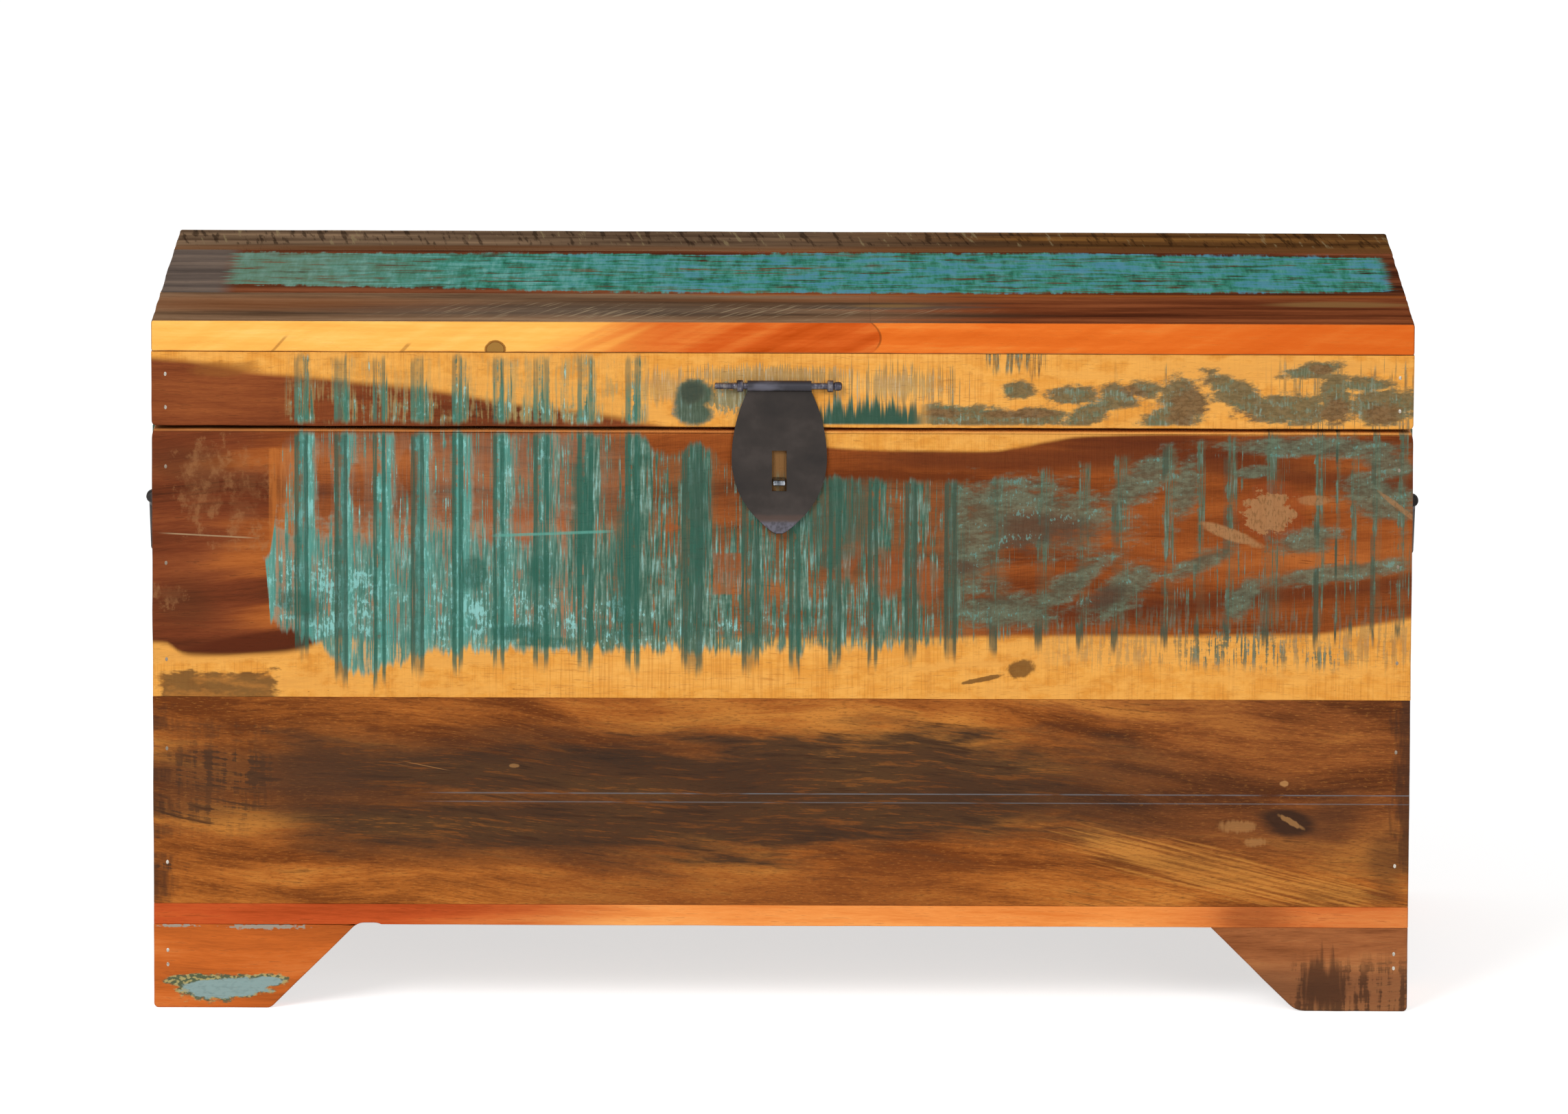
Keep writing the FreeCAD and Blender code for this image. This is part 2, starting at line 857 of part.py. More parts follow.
handle_eyes = []
handle_washers = []
for side, x, face, turn, outward in (
    ("left", left - handle_off_wood, left, QUARTER_RIGHT, -1),
    ("right", right + handle_off_wood, right, QUARTER_LEFT, 1),
):
    seats = []
    for count, y in enumerate((-handle_eye_out, handle_eye_out)):
        label = f"{side}_handle_eye_{count}"
        pin, seat = split_pin(label, handle_bore, handle_off_wood, (x, y, handle_z), turn)
        handle_eyes.append(pin)
        seats.append(seat)
        start = face if outward > 0 else face - d["washer_thick"]
        middle = (start, y, handle_z)
        disc = prism(
            f"{label}_disc", BAR_FLATS, d["washer_radius"], d["washer_thick"], middle, ALONG_X
        )
        half = d["washer_hole_wide"] / 2
        hole = box(
            f"{label}_disc_hole",
            (start - d["washer_thick"], y - half, handle_z - half),
            (d["washer_thick"] * 3, half * 2, half * 2),
        )
        handle_washers.append(cut(f"{label}_washer", disc, [hole]))
    wall_x = left if outward < 0 else inner_right
    end_board(f"{side}_board_upper", wall_x, upper_low, rim, end_holes("upper", side) + seats)
    bail(f"{side}_handle_bail", x)
node("handle_eyes", group("handle_eyes", handle_eyes))
node("handle_washers", group("handle_washers", handle_washers))


# Hinges

hinge_y = back + d["knuckle_off_wood"] + d["knuckle_radius"]
leaf_back = -d["knuckle_radius"] - d["knuckle_off_wood"]
knuckle_pitch = d["leaf_wide"] / KNUCKLES


def countersunk(name, x, z, extra):
    """A countersunk screw from the outer face of a leaf into the wood, or the hole for it."""
    face = leaf_back + d["leaf_thick"]
    radius = d["screw_head_radius"] + extra
    shank_radius = d["screw_radius"] + extra
    head_high = d["screw_head_high"] + extra
    long = d["screw_long"] + extra
    at = (x, face, z)
    head = taper(f"{name}_head", SCREW_FLATS, radius, shank_radius, head_high, at, INTO_BACK)
    shank = prism(f"{name}_shank", SCREW_FLATS, shank_radius, long, at, INTO_BACK)
    return fuse(name, [head, shank])


def leaf_shape(name, own, way):
    """One leaf: a plate with knuckles at every other place along the pin, and its screw holes.

    The pin runs along local X, and way is 1 where the plate goes up, or -1.
    """
    wide = d["leaf_wide"]
    bore = d["pin_radius"] + d["pin_clear"]
    low = 0 if way > 0 else -d["leaf_high"]
    plate = box(f"{name}_plate", (-wide / 2, leaf_back, low), (wide, d["leaf_thick"], d["leaf_high"]))
    notches = []
    knuckles = []
    over = d["knuckle_radius"] + d["knuckle_gap"]
    for count in range(KNUCKLES):
        start = knuckle_pitch * count - wide / 2
        if count in own:
            knuckles.append(
                cylinder(
                    f"{name}_knuckle_{count}",
                    d["knuckle_radius"],
                    knuckle_pitch - d["knuckle_gap"],
                    (start + d["knuckle_gap"] / 2, 0, 0),
                    ALONG_X,
                )
            )
        else:
            notches.append(
                box(
                    f"{name}_notch_{count}",
                    (start - d["knuckle_gap"] / 2, leaf_back - over, -over),
                    (knuckle_pitch + d["knuckle_gap"], over * 2, over * 2),
                )
            )
    notched = cut(f"{name}_notched", plate, notches)
    solid = fuse(f"{name}_solid", [notched] + knuckles)
    pin_hole = cylinder(f"{name}_pin_hole", bore, wide * 2, (-wide, 0, 0), ALONG_X)
    return cut(f"{name}_bored", solid, [pin_hole])


def screw_places(way):
    """Two screws near the corners and one between them, nearer the pin."""
    out = d["leaf_wide"] / 2 - d["screw_in"]
    far = (d["leaf_high"] - d["screw_from_edge"]) * way
    near = (d["knuckle_radius"] + d["screw_from_knuckle"]) * way
    return ((-out, far), (0, near), (out, far))


def hinge_pin(name):
    """A pin with a low head at each end."""
    half = d["leaf_wide"] / 2
    high = d["pin_head_high"]
    shapes = [cylinder(f"{name}_shank", d["pin_radius"], half * 2, (-half, 0, 0), ALONG_X)]
    for end, start in (("left", -half - high), ("right", half)):
        radius = d["pin_head_radius"]
        shapes.append(prism(f"{name}_head_{end}", BAR_FLATS, radius, high, (start, 0, 0), ALONG_X))
    return fuse(name, shapes)


base_screws = []
lid_screws = []
base_screw_holes = []
lid_screw_holes = []
hinge_pins = []
for side, x in (("left", left + d["hinge_from_end"]), ("right", right - d["hinge_from_end"])):
    centre = (x, hinge_y, seam)
    for part_name, own, way, screws, holes in (
        ("base", range(0, KNUCKLES, 2), -1, base_screws, base_screw_holes),
        ("lid", range(1, KNUCKLES, 2), 1, lid_screws, lid_screw_holes),
    ):
        label = f"hinge_leaf_{part_name}_{side}"
        leaf = leaf_shape(label, own, way)
        leaf_holes = []
        for count, (screw_x, screw_z) in enumerate(screw_places(way)):
            screw_name = f"hinge_screw_{part_name}_{side}_{count}"
            screw = countersunk(screw_name, screw_x, screw_z, 0)
            leaf_holes.append(
                countersunk(f"{screw_name}_leaf_hole", screw_x, screw_z, d["screw_clear"])
            )
            wood_hole = countersunk(
                f"{screw_name}_wood_hole", screw_x, screw_z, d["screw_clear"]
            )
            screws.append(place(screw, *centre))
            holes.append(place(wood_hole, *centre))
        node(label, place(cut(label, leaf, leaf_holes), *centre))
    hinge_pins.append(place(hinge_pin(f"hinge_pin_{side}"), *centre))
node("hinge_screws_base", group("hinge_screws_base", base_screws))
node("hinge_screws_lid", group("hinge_screws_lid", lid_screws))
node("hinge_pins", group("hinge_pins", hinge_pins))
long_board("back_board_upper", inner_back, upper_low, rim, back_brads["upper"][1] + base_screw_holes)


# Hasp

hasp_bore = d["rod_radius"] + d["rod_clear"]
hasp_outer = hasp_bore + d["hasp_thick"]
hasp_y = front - d["hasp_off_wood"] - hasp_outer
hasp_z = lid_low + d["hasp_above_seam"]
eye_bore = d["rod_radius"] + d["eye_clear"]


def hasp_rod():
    """A round rod with a thicker end on the right, turned about local X."""
    body = new_body("hasp_rod")
    sketch = new_sketch(body, "hasp_rod_profile", "XZ_Plane")
    radius = d["rod_radius"]
    head = d["rod_head_radius"]
    neck = d["rod_right"] - d["rod_head_long"]
    chamfer = head / 3
    steps = [
        line_to(d["rod_right"], 0),
        line_to(d["rod_right"], head - chamfer),
        line_to(d["rod_right"] - chamfer, head),
        line_to(neck, head),
        line_to(neck, radius),
        line_to(-d["rod_left"], radius),
        line_to(-d["rod_left"], 0),
    ]
    draw(sketch, (-d["rod_left"], 0), steps)
    turned = body.newObject("PartDesign::Revolution", "hasp_rod_turned")
    turned.Profile = sketch
    turned.ReferenceAxis = (sketch, ["H_Axis"])
    turned.Angle = 360
    place(body, hasp_x, hasp_y, hasp_z)
    return node("hasp_rod", body)


def hasp_plate():
    """Sheet rolled round the rod at its top, leaf shaped, with its tip bent forward."""
    body = new_body("hasp_plate")
    roll = new_sketch(body, "hasp_roll", "YZ_Plane")
    draw_circle(roll, 0, 0, hasp_outer)
    draw_circle(roll, 0, 0, hasp_bore)
    pad(body, "hasp_barrel", roll, d["hasp_wide"], both_ways=True)
    side = new_sketch(body, "hasp_side", "YZ_Plane")
    bend = d["hasp_tip_long"] - d["hasp_long"]
    tip = -d["hasp_long"]
    draw(
        side,
        (hasp_outer, 0),
        [
            line_to(hasp_bore, 0),
            line_to(hasp_bore, bend),
            line_to(hasp_bore - d["hasp_tip_out"], tip),
            line_to(hasp_outer - d["hasp_tip_out"], tip),
            line_to(hasp_outer, bend),
            line_to(hasp_outer, 0),
        ],
    )
    pad(body, "hasp_sheet", side, d["hasp_wide"], both_ways=True)
    waste = new_sketch(body, "hasp_waste", "XZ_Plane")
    spare = d["hasp_wide"]
    neck_drop = -hasp_outer
    half_neck = d["hasp_neck_wide"] / 2
    half_wide = d["hasp_wide"] / 2
    half_bend = d["hasp_bend_wide"] / 2
    half_tip = d["hasp_tip_wide"] / 2
    wide_drop = -d["hasp_wide_drop"]
    upper = d["hasp_side_round"]
    lower = d["hasp_lower_round"]
    upper_x = half_wide - upper
    lower_x = half_wide - lower
    draw(
        waste,
        (half_neck, hasp_outer),
        [
            line_to(half_neck, neck_drop),
            arc_to(half_wide, wide_drop, upper, (upper_x, wide_drop), False),
            arc_to(half_bend, bend, lower, (lower_x, wide_drop), False),
            line_to(half_tip, tip),
            line_to(-half_tip, tip),
            line_to(-half_bend, bend),
            arc_to(-half_wide, wide_drop, lower, (-lower_x, wide_drop), False),
            arc_to(-half_neck, neck_drop, upper, (-upper_x, wide_drop), False),
            line_to(-half_neck, hasp_outer),
            line_to(half_neck, hasp_outer),
        ],
    )
    draw(
        waste,
        (-spare, spare),
        [
            line_to(spare, spare),
            line_to(spare, tip - spare),
            line_to(-spare, tip - spare),
            line_to(-spare, spare),
        ],
    )
    pocket_both_ways(body, "hasp_trim", waste, spare)
    hole = new_sketch(body, "hasp_slot", "XZ_Plane")
    slot_half = d["staple_wide"] / 2 + d["slot_side_clear"]
    slot_low = staple_z - d["staple_high"] / 2 - d["slot_end_clear"] - hasp_z
    slot_high = slot_low + d["slot_long"]
    draw(
        hole,
        (-slot_half, slot_low),
        [
            line_to(slot_half, slot_low),
            line_to(slot_half, slot_high),
            line_to(-slot_half, slot_high),
            line_to(-slot_half, slot_low),
        ],
    )
    pocket_both_ways(body, "hasp_slot_cut", hole, spare)
    place(body, hasp_x, hasp_y, hasp_z)
    return node("hasp_plate", body)


hasp_rod()
hasp_plate()
hasp_eyes = []
hasp_seats = []
for name, x in (("left", -d["left_eye_out"]), ("right", d["right_eye_out"])):
    reach = front - hasp_y
    pin, seat = split_pin(f"hasp_eye_{name}", eye_bore, reach, (hasp_x + x, hasp_y, hasp_z), UPRIGHT)
    hasp_eyes.append(pin)
    hasp_seats.append(seat)
node("hasp_eyes", group("hasp_eyes", hasp_eyes))


# Lid

long_board("lid_board_front", front, lid_low, plank_low, front_brads["lid"][1] + hasp_seats)
long_board("lid_board_back", inner_back, lid_low, plank_low, back_brads["lid"][1] + lid_screw_holes)
for side, x in (("left", left), ("right", inner_right)):
    end_board(f"lid_board_{side}", x, lid_low, plank_low, end_holes("lid", side))

middle_deep = d["chest_deep"] - d["front_plank_deep"] - d["back_plank_deep"]
for name, y, deep in (
    ("front", front, d["front_plank_deep"]),
    ("middle", front + d["front_plank_deep"], middle_deep),
    ("back", back - d["back_plank_deep"], d["back_plank_deep"]),
):
    label = f"lid_plank_{name}"
    node(label, box(label, (left, y, plank_low), (d["chest_wide"], deep, d["plank_thick"])))
for side, x in (("left", left + d["batten_from_end"]), ("right", right - d["batten_from_end"])):
    label = f"lid_batten_{side}"
    corner = (x - d["batten_wide"] / 2, inner_front, plank_low - d["batten_thick"])
    node(label, box(label, corner, (d["batten_wide"], inner_deep, d["batten_thick"])))

base_brads = []
for course in ("foot", "lower", "upper"):
    base_brads += front_brads[course][0] + back_brads[course][0]
node("base_brads", group("base_brads", base_brads))
node("lid_brads", group("lid_brads", front_brads["lid"][0] + back_brads["lid"][0]))


# Check and write every piece

doc.recompute()
faults = [
    obj.Name for obj in doc.Objects if "Invalid" in obj.State or "Error" in obj.State
]
for piece in nodes:
    shape = piece.Shape
    if shape.isNull() or not shape.isValid() or not shape.Solids:
        faults.append(piece.Label)
if faults:
    raise SystemExit(f"These failed to build: {faults}")
os.makedirs("parts", exist_ok=True)
for piece in nodes:
    piece.Shape.exportStep(f"parts/{piece.Label}.step")
print(f"{len(nodes)} pieces written")
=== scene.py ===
"""The looks of the storage chest: worn boards, old paint and blackened iron, on its fixed frame."""

import json
import math

import bmesh
import bpy
from mathutils import Matrix, Vector, noise


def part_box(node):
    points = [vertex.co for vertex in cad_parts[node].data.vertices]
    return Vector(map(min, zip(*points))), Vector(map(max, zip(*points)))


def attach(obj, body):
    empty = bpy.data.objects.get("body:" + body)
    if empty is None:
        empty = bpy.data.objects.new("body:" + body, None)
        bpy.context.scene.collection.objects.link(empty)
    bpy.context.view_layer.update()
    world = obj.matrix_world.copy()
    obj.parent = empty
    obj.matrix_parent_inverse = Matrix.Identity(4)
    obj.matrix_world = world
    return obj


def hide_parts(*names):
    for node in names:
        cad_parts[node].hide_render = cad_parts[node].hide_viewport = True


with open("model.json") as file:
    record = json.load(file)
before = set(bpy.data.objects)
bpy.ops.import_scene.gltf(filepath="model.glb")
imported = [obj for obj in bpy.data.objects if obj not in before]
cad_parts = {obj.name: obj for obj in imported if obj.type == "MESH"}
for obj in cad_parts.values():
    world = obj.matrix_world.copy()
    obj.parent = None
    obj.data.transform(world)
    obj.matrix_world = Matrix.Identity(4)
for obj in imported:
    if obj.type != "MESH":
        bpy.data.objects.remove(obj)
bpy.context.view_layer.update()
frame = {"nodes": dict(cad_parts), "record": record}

# Lengths below are in millimetres, as in the frame's record, and meshes are scaled to metres
MM = 0.001

# The photograph: its size in pixels, and the camera that was fitted to the chest's edges
PHOTO_WIDE = 2285
FOCAL_PIXELS = 18940
SENSOR_WIDE = 36
CAMERA_AT = (0.0012, -8.33, 1.686)
CAMERA_DOWN = math.radians(9.72)
CAMERA_ROLL = 0.0034

# Boards: their rims, and the small cuts that the frame's boxes don't give
BOARD_THICK = 18
JOINT_RIM = 0.35
FREE_RIM = 1.4
TOP_RIM = 1.8
RAW_RIM = 0.7
SHARP = (0.5, 0.5)
RIM_STEPS = 4
WEAR_LONG = 34
WEAR_SHORT = 9
END_CUT = 0.4
BLOCK_WIDE = 36
FOOT_HIGH = 54.5
FOOT_OUTER_ROUND = 3
FRONT_FOOT = {"left": (74.5, 6), "right": (71.5, 15)}
END_FOOT = (62, 8)
COVE_ROUND = 10.5
COVE_OVER = 1.1
COVE_FLAT = 6
COVE_LIFT = math.degrees(math.asin((COVE_ROUND - COVE_OVER) / COVE_ROUND))

# Ironwork
ROD_AXIS = (-204.98, 404)
ROD_RADIUS = 2.1
THREAD_FROM = -42.2
THREAD_PITCH = 1.1
THREAD_TURNS = 11
HASP_X = -2
ROLL_RADIUS = 2.88
ROLL_STEPS = 20
ROLL_TURN = math.radians(340)
SHEET_THICK = 1.2
HASP_NECK_HALF = 20.3
HASP_NECK_DROP = 4
HASP_WIDE_HALF = 30.2
HASP_WIDE_DROP = 47
HASP_BEND_DROP = 85.5
HASP_TIP_DROP = 94.5
HASP_TIP_HALF = 2.2
HASP_TIP_OUT = 4
HASP_UPPER_ROUND = 98
HASP_LOWER_ROUND = 54
BELLY_DEEP = 0.5
BELLY_DROP = 50
BELLY_SPREAD = 24
HASP_EYES = (-27, 30.2)
HASP_EYE_BORE = 2.32
SLOT_HALF = 4.65
SLOT_DROPS = (41.8, 67.8)
STAPLE_Z = 342
STAPLE_WIDE = 7.6
STAPLE_HALF = 5.3
STAPLE_THICK = 1.8
STAPLE_REACH = 11
STAPLE_TAIL = 7.5
PIN_THICK = 1.4
PIN_WIDE = 4
PIN_OFF = 0.75
PIN_TAIL = 8.2
HANDLE_Z = 307
HANDLE_X = 406.2
HANDLE_DROP = 49.5
HANDLE_LEG = 46
HANDLE_EYE_BORE = 2.85
EAR_BEND = 5.5
CORNER_BEND = 14
BAR_RADIUS = 2.6
BAR_END_RADIUS = 3.7
BAR_END = 58.9
BAR_END_FROM = 56.3
GRIP_RADIUS = 4.6
GRIP_LONG = 58
GRIP_BELLY = 22
EYE_OUT = 54.3
HINGE_X = 250
HINGE_AXIS = (204.5, 375.5)
KNUCKLE_RADIUS = 4.2
KNUCKLE_BORE = 2.1
KNUCKLE_GAP = 0.4
LEAF_WIDE = 62
LEAF_HIGH = 34
LEAF_THICK = 2
LEAF_BACK = HINGE_AXIS[0] - KNUCKLE_RADIUS - 0.3
SCREW_PLACES = ((-22, 26), (0, 12.2), (22, 26))
SCREW_RADIUS = 3.3
SCREW_DEEP = 0.8
SCREW_SLOT = 0.45
HEAD_PROUD = 0.25

# The stage, in metres, and how bright its floor and surround are
FLOOR_HALF = 14
FLOOR_LIFT = 0.64
WORLD_LIGHT = 0.5

# Where the paint stripes stand along the front: their number at each x
STRIPE_PLACES = {
    -420: -4.3, -305: 0, -206: 4, -125: 7, -95: 8, -57: 9, -20: 10, 8: 11, 107: 15, 189: 18, 211: 19, 243: 20,
    282: 22, 307: 23, 339: 24, 361: 26, 391: 28, 420: 29.5,
}

# Woods, from their dark to their light streaks
WARM = ("5c2a14", "8a4620", "b0622f")
GOLDEN = ("c27a30", "d8943f", "fbbf62")
BROWN = ("4a2b18", "7a4c2a", "a06a3c")
RED = ("94380f", "b5521f", "d9762f")
TAN = ("7a4a20", "ad6f30", "cf9146")


def tone(code):
    """A colour written as six hex digits, as the linear colour that a shader wants."""
    parts = [int(code[place:place + 2], 16) / 255 for place in (0, 2, 4)]
    linear = [part / 12.92 if part <= 0.04045 else ((part + 0.055) / 1.055) ** 2.4 for part in parts]
    return (*linear, 1.0)


# Materials: numbers over the surface, written with plain arithmetic


def empty_tree(holder):
    """The node tree of a material or a world, with nothing in it."""
    holder.use_nodes = True
    holder.node_tree.nodes.clear()
    return holder.node_tree


def add(tree, kind, inputs=(), **settings):
    """A node with its settings. Inputs are fields, outputs, values or colour codes, in order or by name."""
    node = tree.nodes.new(f"ShaderNode{kind}")
    for name, value in settings.items():
        setattr(node, name, value)
    for key, value in inputs.items() if isinstance(inputs, dict) else enumerate(inputs):
        value = getattr(value, "socket", value)
        if isinstance(value, bpy.types.NodeSocket):
            tree.links.new(value, node.inputs[key])
        else:
            node.inputs[key].default_value = tone(value) if isinstance(value, str) else value
    return node


class Field:
    """What varies over a surface: one output of a material's nodes. a | b is the larger of two."""

    def __init__(self, sheet, socket):
        self.sheet = sheet
        self.socket = socket

    def __add__(self, other):
        return self.sheet.math("ADD", self, other)

    def __sub__(self, other):
        return self.sheet.math("SUBTRACT", self, other)

    def __rsub__(self, other):
        return self.sheet.math("SUBTRACT", other, self)

    def __mul__(self, other):
        return self.sheet.math("MULTIPLY", self, other)

    def __or__(self, other):
        return self.sheet.math("MAXIMUM", self, other)

    def __abs__(self):
        return self.sheet.math("ABSOLUTE", self)

    __radd__ = __add__
    __rmul__ = __mul__

    def step(self, low, high):
        """0 below low, 1 above high, and a soft step between. High may be the lower one."""
        return self.sheet.field("MapRange", (self, low, high), interpolation_type="SMOOTHSTEP")

    def swing(self, wide):
        """A noise from 0 to 1 as a number on both sides of 0, this wide from end to end."""
        return (self - 0.5) * wide


class Sheet:
    """One material. Its u runs along the grain, v across the board's face and w through it."""

    def __init__(self, name, lay="xzy"):
        self.material = bpy.data.materials.new(name)
        self.tree = empty_tree(self.material)
        source = add(self.tree, "TexCoord").outputs
        scaled = self.field("VectorMath", {0: source["Object"], "Scale": 1 / MM}, operation="SCALE")
        axes = self.split(scaled)
        self.u, self.v, self.w = (axes[letter] for letter in lay)
        self.place = self.join(self.u, self.v, self.w)
        self.facing = self.split(source["Normal"])
        self.color = None

    def field(self, kind, inputs, output=0, **settings):
        return Field(self, add(self.tree, kind, inputs, **settings).outputs[output])

    def math(self, operation, *values):
        return self.field("Math", values, operation=operation)

    def split(self, vector):
        outputs = add(self.tree, "SeparateXYZ", (vector,)).outputs
        return {letter: Field(self, output) for letter, output in zip("xyz", outputs)}

    def join(self, *fields):
        return self.field("CombineXYZ", fields)

    def noise(self, grain, seed, detail=2, soft=0.5, at=None):
        """Cloudy noise from 0 to 1 whose blobs are about as large as grain, along u, v and w."""
        scaled = self.field("Mapping", {
            "Vector": self.join(*at) if at else self.place,
            "Location": (seed * 7.31, seed * 3.17, seed * 5.03),
            "Scale": tuple(1 / size for size in grain),
        })
        return self.field("TexNoise", {"Vector": scaled, "Scale": 1, "Detail": detail, "Roughness": soft})

    def chance(self, field, seed):
        """A random number from 0 to 1 for each whole value of a field."""
        number = self.math("FLOOR", field + 0.5) + seed * 0.37
        return self.field("TexWhiteNoise", {"W": number}, "Value", noise_dimensions="1D")

    def curve(self, field, line):
        """A smooth line through a few levels at their given places."""
        start, end = min(line), max(line)
        low, high = min(line.values()), max(line.values())
        node = add(self.tree, "FloatCurve", {"Value": (field - start) * (1 / (end - start))})
        knots = node.mapping.curves[0].points
        while len(knots) < len(line):
            knots.new(0.5, 0.5)
        for knot, (where, level) in zip(knots, line.items()):
            knot.location = ((where - start) / (end - start), (level - low) / (high - low))
            knot.handle_type = "AUTO_CLAMPED"
        node.mapping.update()
        return Field(self, node.outputs[0]) * (high - low) + low

    def ridge(self, line):
        return self.curve(self.u, line)

    def away(self, u, v, wide, high, turn=0):
        """How far it is from a place, where 1 is the edge of an ellipse of these half sizes."""
        cos, sin = math.cos(math.radians(turn)), math.sin(math.radians(turn))
        axes = ((cos / wide, sin / wide, 0), (-sin / high, cos / high, 0))
        middle = [axis[0] * u + axis[1] * v for axis in axes]
        here = self.join(*(self.field("VectorMath", (self.place, axis), "Value", operation="DOT_PRODUCT")
                           for axis in axes))
        return self.field("VectorMath", (here, (*middle, 0)), "Value", operation="DISTANCE")

    def spot(self, place, edge, ragged=1.4, soft=0.35):
        """A patch whose edge is eaten by a noise. Place is u, v, half its sizes, and its turn."""
        return (1 - self.away(*place) + edge.swing(ragged)).step(0, soft)

    def patches(self, places, edge, ragged=1.5, soft=0.3):
        """Soft patches run together, and eaten by a noise."""
        nearest = None
        for place in places:
            away = self.away(*place)
            nearest = self.math("SMOOTH_MIN", nearest, away, 0.25) if nearest else away
        return (0.95 - nearest + edge.swing(ragged)).step(-soft, soft)

    def box(self, low, high, edge, ragged=3.0, soft=0.8):
        """A patch with straight sides, from its lower left to its upper right corner."""
        u, v, shake = self.u, self.v, edge.swing(ragged)
        (left, foot), (right, head) = low, high
        wide = (u + shake).step(left - soft, left + soft) * (u + shake).step(right + soft, right - soft)
        tall = (v + shake).step(foot - soft, foot + soft)
        return wide * tall * (v + shake).step(head + soft, head - soft)

    def blend(self, value, other, mask):
        """The first number where the mask is 0, and the other where it is 1."""
        return self.field("Mix", {0: mask, 2: value, 3: other}, data_type="FLOAT")

    def mix(self, color, other, mask):
        """The first colour where the mask is 0, and the other where it is 1."""
        return self.field("Mix", {0: mask, 6: color, 7: other}, 2, data_type="RGBA")

    def coat(self, color, mask):
        """Lay a colour over what is there, where the mask is 1."""
        self.color = self.mix(self.color, color, mask)

    def ramp(self, field, stops):
        """Colours at their places along a field."""
        node = add(self.tree, "ValToRGB", (field,))
        elements = node.color_ramp.elements
        while len(elements) < len(stops):
            elements.new(0.5)
        for element, (where, color) in zip(elements, stops.items()):
            element.position = where
            element.color = tone(color)
        return Field(self, node.outputs[0])

    def finish(self, rough, height, metal=0.0, gloss=0.5):
        """Close the material. Height is in millimetres."""
        bump = self.field("Bump", {"Strength": 1.0, "Distance": MM, "Height": height})
        shader = self.field("BsdfPrincipled", {
            "Base Color": self.color, "Roughness": rough, "Metallic": metal, "Specular IOR Level": gloss,
            "Normal": bump,
        })
        add(self.tree, "OutputMaterial", {"Surface": shader})
        return self.material


class Wood(Sheet):
    """One board: broad bands, fine streaks, fibres and open pores along its u axis."""

    def __init__(self, name, seed, lay="xzy", long=240, sway=9, slant=0.0):
        super().__init__(name, lay)
        drift = self.noise((170, 90, 90), seed, 1).swing(sway) + self.u * slant
        at = (self.u, self.v + drift, self.w)
        self.broad = self.noise((long, 24, 34), seed + 1, 3, 0.55, at)
        self.streak = self.noise((long / 4, 2.2, 4), seed + 2, 3, 0.6, at)
        self.fibre = self.noise((11, 0.85, 1.3), seed + 3, 3, 0.6, at)
        self.pores = (self.fibre + self.streak.swing(0.4)).step(0.60, 0.72)
        self.height = self.streak * 0.08 + self.fibre * 0.07 - self.pores * 0.12

    def tones(self, dark, mid, light, spread=1.0):
        """The wood's colour, from its dark to its light streaks."""
        value = self.broad.swing(1.5 * spread) + self.streak.swing(0.45 * spread)
        value = value + self.fibre.swing(0.5 * spread) + 0.5
        color = self.ramp(value, {0.22: dark, 0.5: mid, 0.78: light})
        return self.mix(color, dark, self.pores * 0.55)

    def waxed(self, film=None, inside=("y", 1), extra=None, gloss=0.08):
        """Close a waxed board, rougher where a film of paint is, and raw where it faces inside.

        Extra is added to the height. It has few nodes, because bump works them out three times.
        """
        axis, sign = inside
        raw = (self.facing[axis] * sign).step(0.5, 0.8)
        rough = 0.46 + self.streak.swing(0.25)
        if film:
            rough = rough + film * 0.14
        height = self.height + extra if extra else self.height
        self.coat(self.tones("6e4c2b", "9a7448", "b98f5d", 0.8), raw)
        return self.finish(rough + raw * 0.2, height, gloss=gloss)


